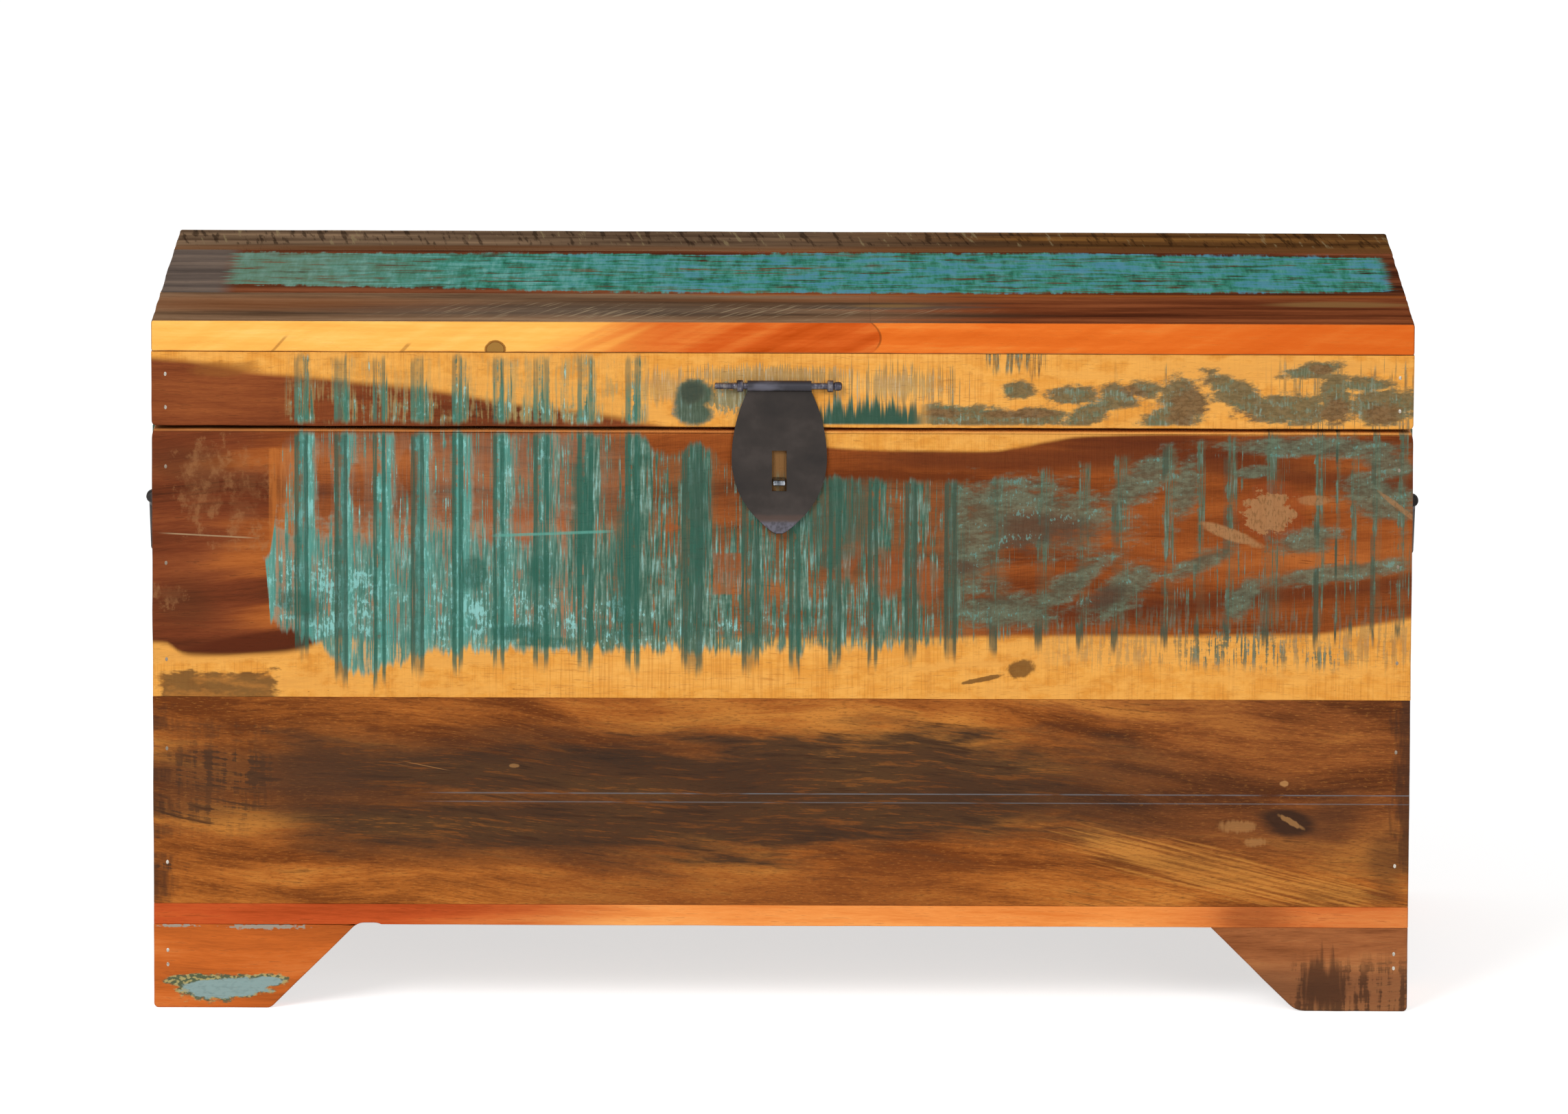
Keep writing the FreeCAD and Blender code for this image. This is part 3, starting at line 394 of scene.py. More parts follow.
class Paint:
    """Remains of teal paint: hairlines, fine upright streaks, blots, and dark double stripes."""

    def __init__(self, wood, seed, places=STRIPE_PLACES):
        self.wood = wood
        self.hair = wood.noise((0.75, 55, 40), seed + 1)
        self.brush = wood.noise((2.0, 30, 40), seed + 2)
        self.blot = wood.noise((15, 11, 20), seed + 3, 5, 0.68)
        self.column = wood.noise((3.2, 900, 900), seed + 4)
        self.chip = wood.noise((1.5, 3.6, 8), seed + 5, 3, 0.6)
        self.shade = wood.noise((1.2, 18, 20), seed + 6, 3, 0.6)
        self.noises = (self.hair, self.brush, self.blot, self.column, self.chip, self.shade)
        phase = wood.ridge(places)
        self.luck = wood.chance(phase, seed)
        self.second_luck = wood.chance(phase, seed + 9)
        self.share = phase - wood.math("FLOOR", phase + 0.5)
        self.off = abs(self.share) * 25

    def stripes(self):
        """Each stripe is two dark lines with a thinner film between them."""
        half = 2.1 + self.luck * 1.2
        shaky = self.off + self.column.swing(1.4) + self.shade.swing(1.1) - half
        return abs(shaky).step(1.6, 1.0) | shaky.step(0.4, -0.4) * (self.second_luck * 0.8)

    def raised(self):
        """Ridges of film, in millimetres of height."""
        return (self.hair.swing(1.9) + self.brush.swing(1.5)).step(-0.2, 0.12) * 0.14

    def lean(self):
        """Brush strokes left the film thickest just right of each stripe."""
        shaky = self.share + self.column.swing(0.12) + self.blot.swing(0.4)
        return shaky.step(0.46, 0.14) * shaky.step(-0.08, 0.02)

    def film(self, cover):
        """Where paint is left, from a cover that says how much of it is left on average."""
        worn = self.hair.swing(1.9) + self.brush.swing(1.5) + self.blot.swing(1.3)
        return (cover - 0.5 + worn).step(-0.12, 0.18)

    def color(self, pale, brown):
        """The paint's own colour. Pale is a mask of its chalky patches."""
        tint = self.blot.swing(1.2) + self.shade.swing(2.4) + 0.5
        stops = {0.14: "2a5a4a", 0.36: "3d6c5d", 0.54: "527767", 0.70: "6a8777", 0.92: "7fada4"}
        color = self.wood.mix(self.wood.ramp(tint, stops), "565640", brown)
        flake = self.chip + self.blot.swing(0.9) + self.shade.swing(0.8) + pale * 0.2
        return self.wood.mix(color, "8cc9c4", flake.step(0.68, 0.82) * pale.step(0.0, 0.3) * 0.9)


def sapwood(wood, paint):
    """Pale sapwood: mottled, with fine upright hairlines left by the saw."""
    mottle = (paint.blot + wood.streak.swing(0.8)).step(0.42, 0.66)
    color = wood.mix(wood.tones("b8742c", "e09a40", "f0b15a", 0.8), "d78a32", mottle * 0.4)
    cut = (paint.hair + paint.brush.swing(0.5)).step(0.50, 0.64)
    color = wood.mix(color, "c07a30", cut * 0.4)
    glow = (wood.broad + paint.blot.swing(0.6)).step(0.56, 0.40)
    return wood.mix(color, "f3b35a", glow * 0.5)


def front_upper_wood():
    wood = Wood("front_upper_wood", 1, sway=26, slant=-0.02)
    paint = Paint(wood, 20)
    u, v, broad = wood.u, wood.v, wood.broad
    hair, brush, blot, column, chip, shade = paint.noises
    smear = wood.noise((30, 9, 20), 31, 5, 0.7, (u + v * 0.8, v - u * 0.16, wood.w))

    # Bare wood: mahogany, orange to the right, amber below and along the rim, and a painted highlight along
    # the top edge
    wood.color = wood.tones("4c220d", "703519", "8c4a25", 0.9)
    orange = wood.tones("6a300d", "944b1a", "b06229", 0.9)
    wood.coat(orange, (u + broad.swing(240)).step(-345, -290) * 0.85)
    bands = wood.ridge({-420: 250, 100: 248, 220: 252, 300: 262, 420: 274})
    bands = abs(v - bands - 6 + broad.swing(20)).step(13, 1) * u.step(80, 200)
    upper = wood.ridge({-420: 366, 60: 358, 150: 356, 220: 360, 300: 350, 420: 340})
    upper = abs(v - upper + broad.swing(26)).step(15, 2) * u.step(20, 90)
    wood.coat("54240f", (bands | upper) * 0.72)
    amber = sapwood(wood, paint)
    foot = wood.ridge({
        -420: 237, -392: 236, -374: 228, -330: 229, -300: 234, -278: 240, -250: 236, -205: 240, -100: 241,
        -45: 243, 0: 243, 40: 243, 200: 243, 330: 244, 362: 249, 420: 259,
    })
    rim = wood.ridge({
        -420: 392, 14: 392, 24: 364, 60: 362, 126: 361.5, 146: 363.5, 170: 367.5, 206: 371, 310: 372.5,
        420: 372.5,
    })
    low = (v - foot + broad.swing(8)).step(2, -3)
    wood.coat(amber, low | (v - rim + broad.swing(6)).step(-1.2, 1.8))
    # Painted highlight: a light line along the top edge, where its rounded rim would catch the light
    wood.coat("d98f4c", v.step(372.6, 374) * 0.5)
    wood.coat("54230d", wood.spot((-332, 237, 62, 8, 8), broad, 0.7) * 0.9)
    wood.coat("4a2814", wood.patches(((-380, 262, 20, 14), (-376, 352, 26, 12, -6)), broad, 1.6, 0.6) * 0.5)
    stain = wood.noise((16, 7, 12), 46, 4, 0.6)
    patch = wood.box((-395, 200), (-323, 218), stain, 22, 2.0)
    wood.coat(wood.mix("5f3f22", "96602c", stain.step(0.42, 0.66)), patch * 0.85)
    flakes = wood.noise((9, 12, 12), 45, 5, 0.72)
    scuff = wood.patches((
        (-366, 340, 16, 22), (-338, 345, 12, 18), (-342, 322, 12, 12), (-345, 300, 16, 3), (-388, 268, 8, 6),
    ), flakes, 5.0, 0.3)
    wood.coat("9a6a42", scuff * (0.12 + flakes.step(0.5, 0.66) * 0.4))
    strip = wood.box((-325.5, 250), (-305, 362), column, 3.0, 1.0)
    wood.coat("b5692d", strip * (0.35 + brush.step(0.4, 0.6) * 0.35))
    scratch = abs(v - 306 + (u + 364) * 0.05).step(0.7, 0.2) * abs(u + 364).step(34, 20)
    wood.coat("b59a74", scratch * 0.6)
    knocks = wood.noise((3.2, 1.2, 6), 44).step(0.72, 0.78) * v.step(216, 205)
    nicks = wood.patches(((152, 222, 9, 6, 15), (128, 215, 15, 1.6, 12)), flakes, 1.6, 0.2)
    wood.coat("5a3a1c", (knocks | nicks) * 0.8)

    # Paint: a dense field left of the hasp, remains and smears right of it
    ragged = column.swing(26)
    floor = wood.ridge({
        -420: 300, -332: 300, -326: 252, -318: 246, -300: 238, -284: 226, -268: 218, -250: 221, -232: 228,
        -204: 232, -49: 232, 107: 238, 170: 244, 420: 252,
    })
    roof = wood.ridge({
        -420: 288, -329: 292, -322: 312, -316: 368, -300: 373, -98: 373, -86: 371, -80: 361, -65: 361,
        -57: 366, -46: 364, -38: 356, 20: 346, 107: 343, 160: 350, 230: 362, 300: 374, 420: 376,
    })
    zone = (v - floor + ragged * 0.8).step(-2, 4) * (roof - v + ragged * 0.35).step(-2, 4)
    high_cover = wood.ridge({
        -420: 0, -332: 0, -322: 0.32, -306: 0.46, -200: 0.50, -110: 0.58, -60: 0.68, -40: 0.50, 20: 0.62,
        80: 0.60, 118: 0.36, 150: 0.16, 420: 0.2,
    })
    low_cover = wood.ridge({
        -420: 0, -338: 0, -326: 0.72, -200: 0.88, -110: 0.86, -60: 0.80, 0: 0.68, 60: 0.62, 112: 0.46,
        150: 0.24, 260: 0.2, 420: 0.24,
    })
    lower_part = (v + blot.swing(90)).step(322, 290)
    lean = paint.lean()
    cover = wood.blend(high_cover, low_cover, lower_part) + (lean - 0.4) * wood.blend(0.62, 0.22, lower_part)
    crumble = wood.noise((5, 2.6, 6), 43, 4, 0.7)
    rusty = wood.box((-44, 269), (-25.5, 296), shade, 3.0) * (0.35 + hair.step(0.4, 0.6) * 0.5)
    rusty = rusty | wood.patches((
        (-165, 314, 9, 10), (-137, 315, 5, 10), (-185, 314, 5, 12), (-70, 312, 8, 4), (68, 285, 12, 18),
        (93, 276, 8, 16), (42, 292, 8, 18, -14),
    ), blot, 1.8, 0.2) * 0.6
    chips = ((-237, 347, 6, 16, 4), (-290, 336, 5, 22, 2), (-270, 340, 5, 16, 4))
    bare = rusty | wood.patches(chips, blot, 1.2, 0.15)
    wood.coat("a8501e", rusty * 0.7)
    film = paint.film(cover) * zone * (1 - bare * 0.85)
    glaze = zone * cover.step(0.1, 0.5) * (0.30 + brush.swing(0.5)) * (1 - bare * 0.7)
    smears = wood.patches((
        (152, 320, 64, 23, -4), (226, 342, 28, 11, 38), (256, 338, 9, 20, -12), (112, 300, 28, 32),
        (182, 276, 32, 8, 38), (216, 272, 28, 11, 35), (140, 260, 34, 12), (342, 365, 66, 6, -1),
        (384, 355, 20, 9, -20), (352, 284, 54, 6, 8), (293, 268, 8, 18, -38), (378, 332, 24, 15, -20),
        (333, 305, 20, 9, 10), (268, 292, 24, 6, 25), (300, 349, 14, 4, 10),
    ), smear + crumble.swing(0.25), 2.0, 0.34) * u.step(96, 116)
    deep_smear = wood.patches((
        (168, 312, 34, 10, -4), (150, 300, 12, 8), (108, 287, 18, 5), (205, 268, 16, 7, 20),
    ), smear, 1.8, 0.4)
    marks = wood.noise((22, 28, 30), 41, 1).step(0.44, 0.56)
    reach = (v - floor + ragged).step(-15, -3) * (roof - v + ragged * 0.4).step(-2, 3) * u.step(-314, -308)
    right = u.step(112, 140)
    low_right = (v + column.swing(16)).step(256, 246) * (v + ragged).step(222, 232)
    kept = wood.blend(1.0, marks * paint.second_luck * 1.3 | low_right, right)
    stripe = paint.stripes() * reach * kept * hair.step(0.22, 0.40)
    spindle = (paint.off + column.swing(2) + shade.swing(1.5)).step(2.6, 1.8) * reach * kept
    stripe = wood.blend(stripe, spindle * v.step(226, 234), right)
    pale = wood.spot((-313, 270, 15, 30), blot, soft=0.5) | wood.spot((-282, 266, 58, 38), blot, soft=0.8)
    pale = pale | lean * (u + blot.swing(60)).step(-90, -190) * 0.7
    for place, strength in (
        ((-185, 258, 70, 34), 0.85), ((-120, 250, 60, 26), 0.6), ((-30, 250, 60, 14), 0.5),
        ((200, 262, 26, 9), 0.5), ((-240, 336, 70, 34), 0.5),
    ):
        pale = pale | wood.spot(place, blot, soft=0.8) * strength
    low_marks = (brush + shade.swing(0.7) + crumble.swing(0.5)).step(0.48, 0.58)
    low_zone = (v - 216 + ragged * 0.6).step(2, 14) * (266 - v + ragged * 0.6).step(0, 12)
    crowded = wood.patches(((285, 232, 38, 16), (345, 228, 16, 8)), blot, 1.6, 0.4)
    film = film | low_marks * low_zone * (crowded * 0.6 + 0.36) * u.step(150, 200)
    paint_color = paint.color(pale, (u + blot.swing(180)).step(40, 200) * 0.6)
    bright = (u + blot.swing(120)).step(-110, -220) * (0.18 + lean * 0.35)
    paint_color = wood.mix(paint_color, "5fb3a8", bright)
    pale_side = (u + blot.swing(80)).step(-80, -150)
    wood.coat(wood.mix("5e644a", "8c9682", pale_side), glaze * (1 + pale_side * 0.8))
    wood.coat(paint_color, film * 0.92)
    smear_color = wood.mix("4d4f3e", "65725d", (smear + crumble.swing(0.7)).step(0.34, 0.66))
    smear_color = wood.mix(smear_color, "45362b", deep_smear * 0.8)
    smear_color = wood.mix(smear_color, "5f968c", (chip + (smear - 0.5)).step(0.64, 0.72) * 0.8)
    wood.coat(smear_color, smears * 0.82)
    deep = wood.mix("2c5c4d", "44493a", (u + blot.swing(220)).step(-60, 150) * 0.75)
    deep = wood.mix(deep, "3f4a3c", (paint.second_luck + (blot - 0.5)).step(0.45, 0.8) * 0.5)
    dark_field = wood.patches((
        (-54, 318, 9, 44), (38, 322, 26, 26), (-196, 282, 9, 12), (-152, 284, 9, 10), (-170, 244, 16, 5),
        (-150, 238, 20, 4), (-128, 320, 6, 40), (30, 292, 9, 7, 40), (-305, 262, 16, 9, -12),
        (-100, 282, 9, 44),
    ), blot, 1.6, 0.3)
    wood.coat(deep, dark_field * zone * (0.30 + hair * 0.8))
    wood.coat(deep, stripe * 0.85)
    rule = abs(v - 308 - (u + 146) * 0.04).step(1.3, 0.5) * abs(u + 146).step(42, 30)
    wood.coat("5d9f90", rule * 0.7)

    # Putty over a nail hole, with its smears, and the shadow behind the staple
    crumbs = wood.noise((9, 7, 7), 51, 5, 0.72)
    putty = wood.spot((309, 323, 17, 14), crumbs, 1.9, 0.12) | wood.spot((284, 309, 24, 4.5, -20), smear, 1.0)
    putty = putty | wood.spot((337, 331, 12, 4), smear, 1.0) * 0.7
    putty = putty | wood.spot((392, 326, 20, 2.0, -38), smear, 1.0) * 0.7
    wood.coat("8a3f1a", wood.spot((310, 323, 26, 22), crumbs, 1.2, 0.3) * 0.6)
    wood.coat(wood.mix("a3744a", "86603a", chip.step(0.5, 0.66)), putty * 0.9)
    wood.coat("7c5e38", wood.spot((-2, 350, 9, 20), crumbs, 0.2) * 0.8)
    painted = v.step(230, 240) * u.step(-330, -310)
    return wood.waxed(film | stripe | putty, extra=paint.raised() * painted)


def lid_front_wood():
    wood = Wood("lid_front_wood", 61, sway=12)
    paint = Paint(wood, 20)
    u, v = wood.u, wood.v
    hair, brush, blot, column, chip, _ = paint.noises
    smear = wood.noise((22, 8, 20), 71, 5, 0.7, (u + v * 0.9, v - u * 0.2, wood.w))
    wood.color = sapwood(wood, paint)
    wedge = wood.ridge({
        -420: 421, -400: 420, -327: 411, -275: 405, -212: 398, -168: 389, -140: 386, -109: 383, -85: 379,
        -55: 375, 420: 368,
    })
    red = wood.tones("56260f", "7a3c1c", "985328", 0.9)
    wood.coat(red, (v - wedge + wood.broad.swing(9)).step(3, -3))
    wood.coat("8a5424", wood.patches(((-352, 413, 22, 5, 4),), smear, 1.6) * 0.55)

    # Paint left of the hasp: double stripes in a thin haze
    ragged = column.swing(16)
    span = u.step(-318, -310) * u.step(-82, -92)
    height = (422 - v + ragged * 0.9).step(-2, 4) * (v - 379 + ragged * 0.4).step(-2, 3)
    low_part = (v + blot.swing(30)).step(412, 392)
    lean = paint.lean()
    haze = paint.film(0.10 + low_part * 0.22 + (lean - 0.4) * 0.4) * span * height
    stripe = paint.stripes() * span * height * hair.step(0.24, 0.42)
    patchy = (blot + brush.swing(1.2) + lean.swing(0.2)).step(0.34, 0.62)
    glaze = span * height * patchy * (0.30 + low_part * 0.3 + u.step(-210, -150) * 0.25)

    # Right of it: a dark fringe, a band along the foot of the board, and patches
    crumble = wood.noise((4.5, 2.6, 6), 73, 4, 0.7)
    spikes = column.swing(40) + hair.swing(26) + brush.swing(20)
    fringe = u.step(14, 20) * u.step(96, 80) * (393 - v + spikes).step(-4, 8) * v.step(378, 380)
    masses = wood.patches((
        (112, 385, 48, 7.5, -2), (160, 384, 26, 6), (195, 387, 24, 8, 26), (214, 398, 14, 7, -6),
        (184, 398, 16, 7), (254, 393, 19, 17, 62), (246, 386, 30, 9, 30), (290, 397, 28, 10, -30),
        (322, 389, 30, 11), (350, 396, 12, 18), (380, 391, 26, 13), (148, 401, 12, 6), (334, 414, 22, 5, 8),
        (228, 401, 12, 6), (368, 405, 18, 6),
    ), smear + crumble.swing(0.4), 2.1, 0.24) * u.step(84, 96) * v.step(377.5, 379.5)
    hanging = u.step(126, 130) * u.step(168, 165) * (v - 413 + column.swing(40)).step(-3, 3)
    hanging = hanging * (brush + (hair - 0.5)).step(0.44, 0.56)
    lines = (paint.off + column.swing(2)).step(1.6, 0.8) * u.step(40, 54) * paint.second_luck.step(0.35, 0.6)
    lines = lines * (416 - v + ragged * 1.6).step(-2, 4) * v.step(378, 381) * hair.step(0.36, 0.5) * 0.8
    right_hair = (hair + (brush - 0.5)).step(0.52, 0.66) * u.step(300, 330)
    right_hair = right_hair * (412 - v + spikes).step(-4, 6) * 0.7
    blob = wood.patches(((-56, 397, 13, 11), (-56, 386, 12, 8)), blot, 0.9, 0.2)
    near_rod = wood.patches(((-30, 396, 26, 9),), chip, 3.0, 0.3) * 0.8
    over_rod = wood.patches(((-12, 410, 60, 5), (74, 404, 30, 10)), hair, 4.0, 0.2) * 0.5
    over_rod = over_rod | wood.patches(((-76, 402, 14, 9),), brush, 2.6, 0.4) * 0.4
    film = haze | fringe | masses | hanging * 0.9 | blob | near_rod | lines | right_hair | over_rod
    paint_color = paint.color(u.step(-60, -120) * 0.35, u.step(90, 130) * 0.45)
    core = (smear + chip.swing(0.6)).step(0.40, 0.54)
    olive = wood.mix("504a34", "6c5f42", crumble.step(0.40, 0.6))
    paint_color = wood.mix(paint_color, olive, core * u.step(60, 110) * 0.9)
    blob_core = wood.patches(((-57, 399, 8, 7),), blot, 0.9, 0.3)
    paint_color = wood.mix(paint_color, "54503a", blob_core * 0.85)
    brown_core = wood.patches((
        (257, 392, 20, 10, 52), (276, 388, 24, 5, -12), (223, 400, 10, 4, -10), (350, 388, 9, 9),
        (380, 387, 13, 7), (341, 415, 8, 3), (161, 414, 5, 12), (150, 386, 24, 3), (100, 386, 12, 3),
    ), smear, 1.6, 0.3)
    brown = wood.mix("4c3a29", "6d553c", crumble.step(0.4, 0.6))
    paint_color = wood.mix(paint_color, brown, brown_core * 0.85)
    wood.coat("a8935f", glaze)
    wood.coat(paint_color, film * 0.9)
    wood.coat("37443a", blob * (0.45 + chip * 0.3 + blob_core * 0.3))
    core_up = (v + blot.swing(24)).step(398, 410)
    wood.coat(wood.mix("3c7160", "5e6046", core_up * 0.8), stripe * (0.78 - core_up * 0.2))
    wood.coat("2a4c3e", fringe * v.step(402, 388) * 0.9)
    return wood.waxed(film | stripe, extra=paint.raised() * span)


def front_lower_wood():
    wood = Wood("front_lower_wood", 81, long=130, sway=34, slant=0.07)
    u, v, broad, streak = wood.u, wood.v, wood.broad, wood.streak
    smoke = wood.noise((90, 13, 40), 91, 5, 0.62, (u, v + u * 0.07 + broad.swing(20), wood.w))
    hatch = wood.noise((3.0, 14, 20), 95)
    wood.color = wood.tones("683410", "a05a22", "c27c34")
    foot = (v + broad.swing(40)).step(108, 76)
    wood.coat(wood.tones("7a3f14", "b26626", "d68a3c", 1.1), foot * 0.8)
    wood.coat("7c431c", foot * abs(u + 20).step(190, 90) * 0.55)
    brown = wood.tones("50280f", "7f4620", "a8662e", 1.1)
    wood.coat(brown, (u + smoke.swing(200)).step(140, 260) * v.step(84, 120) * 0.8)

    # Smoky bands, thickest left of the middle
    centre = wood.ridge({-420: 148, -300: 144, -230: 138, -50: 136, 80: 144, 180: 144, 300: 128, 420: 104})
    half = wood.ridge({-420: 24, -330: 30, -240: 42, -60: 42, 80: 36, 200: 34, 300: 30, 420: 26})
    depth = wood.math("DIVIDE", abs(v - centre), half)
    strength = wood.ridge({
        -420: 0.3, -345: 0.45, -280: 0.9, -100: 1.05, 120: 0.95, 220: 0.55, 330: 0.2, 420: 0.35,
    })
    solid = (u + smoke.swing(120)).step(20, -100) * 1.3
    dark = (1 - depth + smoke.swing(2.4 - solid)).step(-0.4, 0.5) * strength
    columns = wood.noise((6.5, 50, 20), 96, 3, 0.6)
    left_hatch = (columns + streak.swing(0.9)).step(0.42, 0.60)
    left_hatch = left_hatch * wood.patches(((-356, 147, 56, 32), (-390, 92, 14, 3)), smoke, 1.2, 0.5) * 0.9
    clear = abs(v - 138 + smoke.swing(20)).step(9, 2) * u.step(60, -200) * 0.3
    dark = (dark | left_hatch) * (1 - clear)
    broken = dark * (0.98 - (wood.fibre + (streak - 0.5)).step(0.44, 0.30) * 0.35)
    wood.coat("35281d", wood.math("MINIMUM", broken, 0.9))
    wood.coat("2e2018", (streak + smoke.swing(0.5)).step(0.56, 0.70) * dark.step(0.1, 0.7) * 0.55)
    wood.coat("74461f", streak.step(0.44, 0.34) * dark.step(0.1, 0.7) * 0.35)
    wood.coat("4f3220", wood.patches(((-372, 148, 30, 26), (-300, 150, 40, 18)), smoke, 1.8, 0.7) * 0.55)
    fan = wood.noise((45, 1.8, 20), 98, 4, 0.6, (u + v, v + u * 0.24, wood.w))
    rays = wood.patches(((268, 92, 74, 12, -12), (344, 78, 34, 9, -8)), fan, 2.6, 0.4)
    wood.coat("cc8a3e", rays * (0.30 + fan.step(0.36, 0.66) * 0.35))
    wood.coat("5c3417", fan.step(0.50, 0.38) * u.step(120, 200) * v.step(130, 105) * 0.32)
    fleck = wood.noise((4.5, 0.9, 2), 99, 3, 0.65)
    wood.coat("4a2a14", fleck.step(0.52, 0.68) * 0.42)
    wood.coat("c88640", fleck.step(0.44, 0.32) * (1 - dark) * 0.3)
    wood.coat("4a2812", streak.step(0.60, 0.72) * broad.step(0.45, 0.6) * 0.5)
    right_stain = (u + hatch.swing(24)).step(386, 397) * (v + smoke.swing(60)).step(70, 100)
    left_stain = (u + hatch.swing(24)).step(-382, -398) * smoke.step(0.40, 0.6)
    corners = wood.patches(((352, 128, 20, 16, 30), (386, 92, 12, 22)), smoke, 1.8, 0.6)
    wood.coat("3c2519", right_stain * 0.7 | left_stain * 0.7 | corners * 0.5)

    # A knot near the right end, with tan filler beside it
    wood.coat("6a3f22", wood.spot((326, 120, 36, 18, -6), smoke, 1.0, 0.8) * 0.6)
    wood.coat("2c1d15", wood.spot((323, 122, 23, 11, -8), smoke, 1.2, 0.5) * 0.85)
    filler = wood.spot((325, 123, 11, 2.2, -30), hatch, 0.9) * 0.7
    filler = filler | wood.patches(((290, 120, 12, 4), (302, 110, 7, 3)), hatch, 1.6, 0.3) * 0.6
    filler = filler | wood.spot((320, 148, 3.2, 2.4), hatch, 0.5)
    filler = filler | wood.spot((-170, 158, 4, 1.6), hatch, 0.5) * 0.6
    wood.coat("b07f4c", filler * 0.8)

    # Two ruled lines and a few pale diagonal scratches
    ruled = abs(v - 140.4).step(0.6, 0.15) | abs(v - 134.8).step(0.5, 0.15) * 0.8
    wood.coat("6f6f72", ruled * u.step(-240, -190) * streak.step(0.3, 0.5) * 0.7)
    slope = (u * 0.04 + v * 0.1, v + u * 0.2, wood.w)
    scratches = wood.noise((1.2, 0.9, 30), 97, 1, at=slope).step(0.66, 0.74)
    wood.coat("b8834e", scratches * wood.spot((-226, 158, 48, 12, -12), smoke, soft=0.8) * 0.6)
    return wood.waxed()


def rail_wood():
    wood = Wood("front_rail_wood", 101, sway=5, slant=0.015)
    place = wood.u + wood.broad.swing(120)
    wood.color = wood.tones("a9471c", "cb6a30", "dd8645", 0.8)
    wood.coat(wood.tones("94390f", "be5022", "d0652c", 0.8), place.step(-130, -250))
    wood.coat(wood.tones("d9772f", "f1964a", "fbb265", 0.8), place.step(-170, -60) * place.step(320, 210))
    brown = wood.tones("6c3315", "9a5226", "b86a34")
    wood.coat(brown, wood.spot((302, 61, 36, 16), wood.broad, soft=0.8) * 0.8)
    return wood.waxed()


def left_foot_wood():
    wood = Wood("left_foot_wood", 111, long=160, sway=14)
    wood.color = wood.tones("a04f1d", "c66526", "da7f3e", 0.8)
    edge = wood.noise((9, 5, 9), 112, 4, 0.65)
    crackle = wood.noise((3, 2, 3), 113, 3)
    rim, patch = (wood.patches(places, edge, 1.2, 0.1) for places in (
        ((-352, 13.5, 34, 8.5, 6), (-330, 18, 16, 5, 5), (-374, 17, 20, 5, -4)),
        ((-350, 13, 29, 6.5, 6), (-330, 17, 12, 3.4, 5), (-362, 15, 20, 3.6)),
    ))
    wood.coat(wood.mix("3f5e48", "a9a26c", crackle.step(0.46, 0.56)), rim * 0.9)
    wood.coat(wood.mix("8ba4a2", "7f9a9a", crackle.step(0.46, 0.66)), patch * 0.95)
    wood.coat("93a398", wood.patches(((-328, 53, 22, 1.6), (-386, 53.4, 12, 1.0)), crackle, 3.0, 0.2) * 0.7)
    return wood.waxed(rim)


def right_foot_wood():
    wood = Wood("right_foot_wood", 121, long=130, sway=16, slant=-0.05)
    wood.color = wood.tones("7a4423", "a06036", "b97a48", 0.9)
    wood.coat("7a5236", (wood.v + wood.broad.swing(22)).step(40, 18) * 0.6)
    ticks = wood.noise((3.6, 30, 9), 122, 3)
    streaks = (ticks + wood.streak.swing(0.5)).step(0.44, 0.60) * (wood.v + ticks.swing(40)).step(46, 22)
    streaks = streaks | wood.patches(((346, 16, 14, 18, 14),), ticks, 2.8, 0.5)
    wood.coat("2b1b14", streaks * wood.u.step(322, 332) * 0.7)
    return wood.waxed()


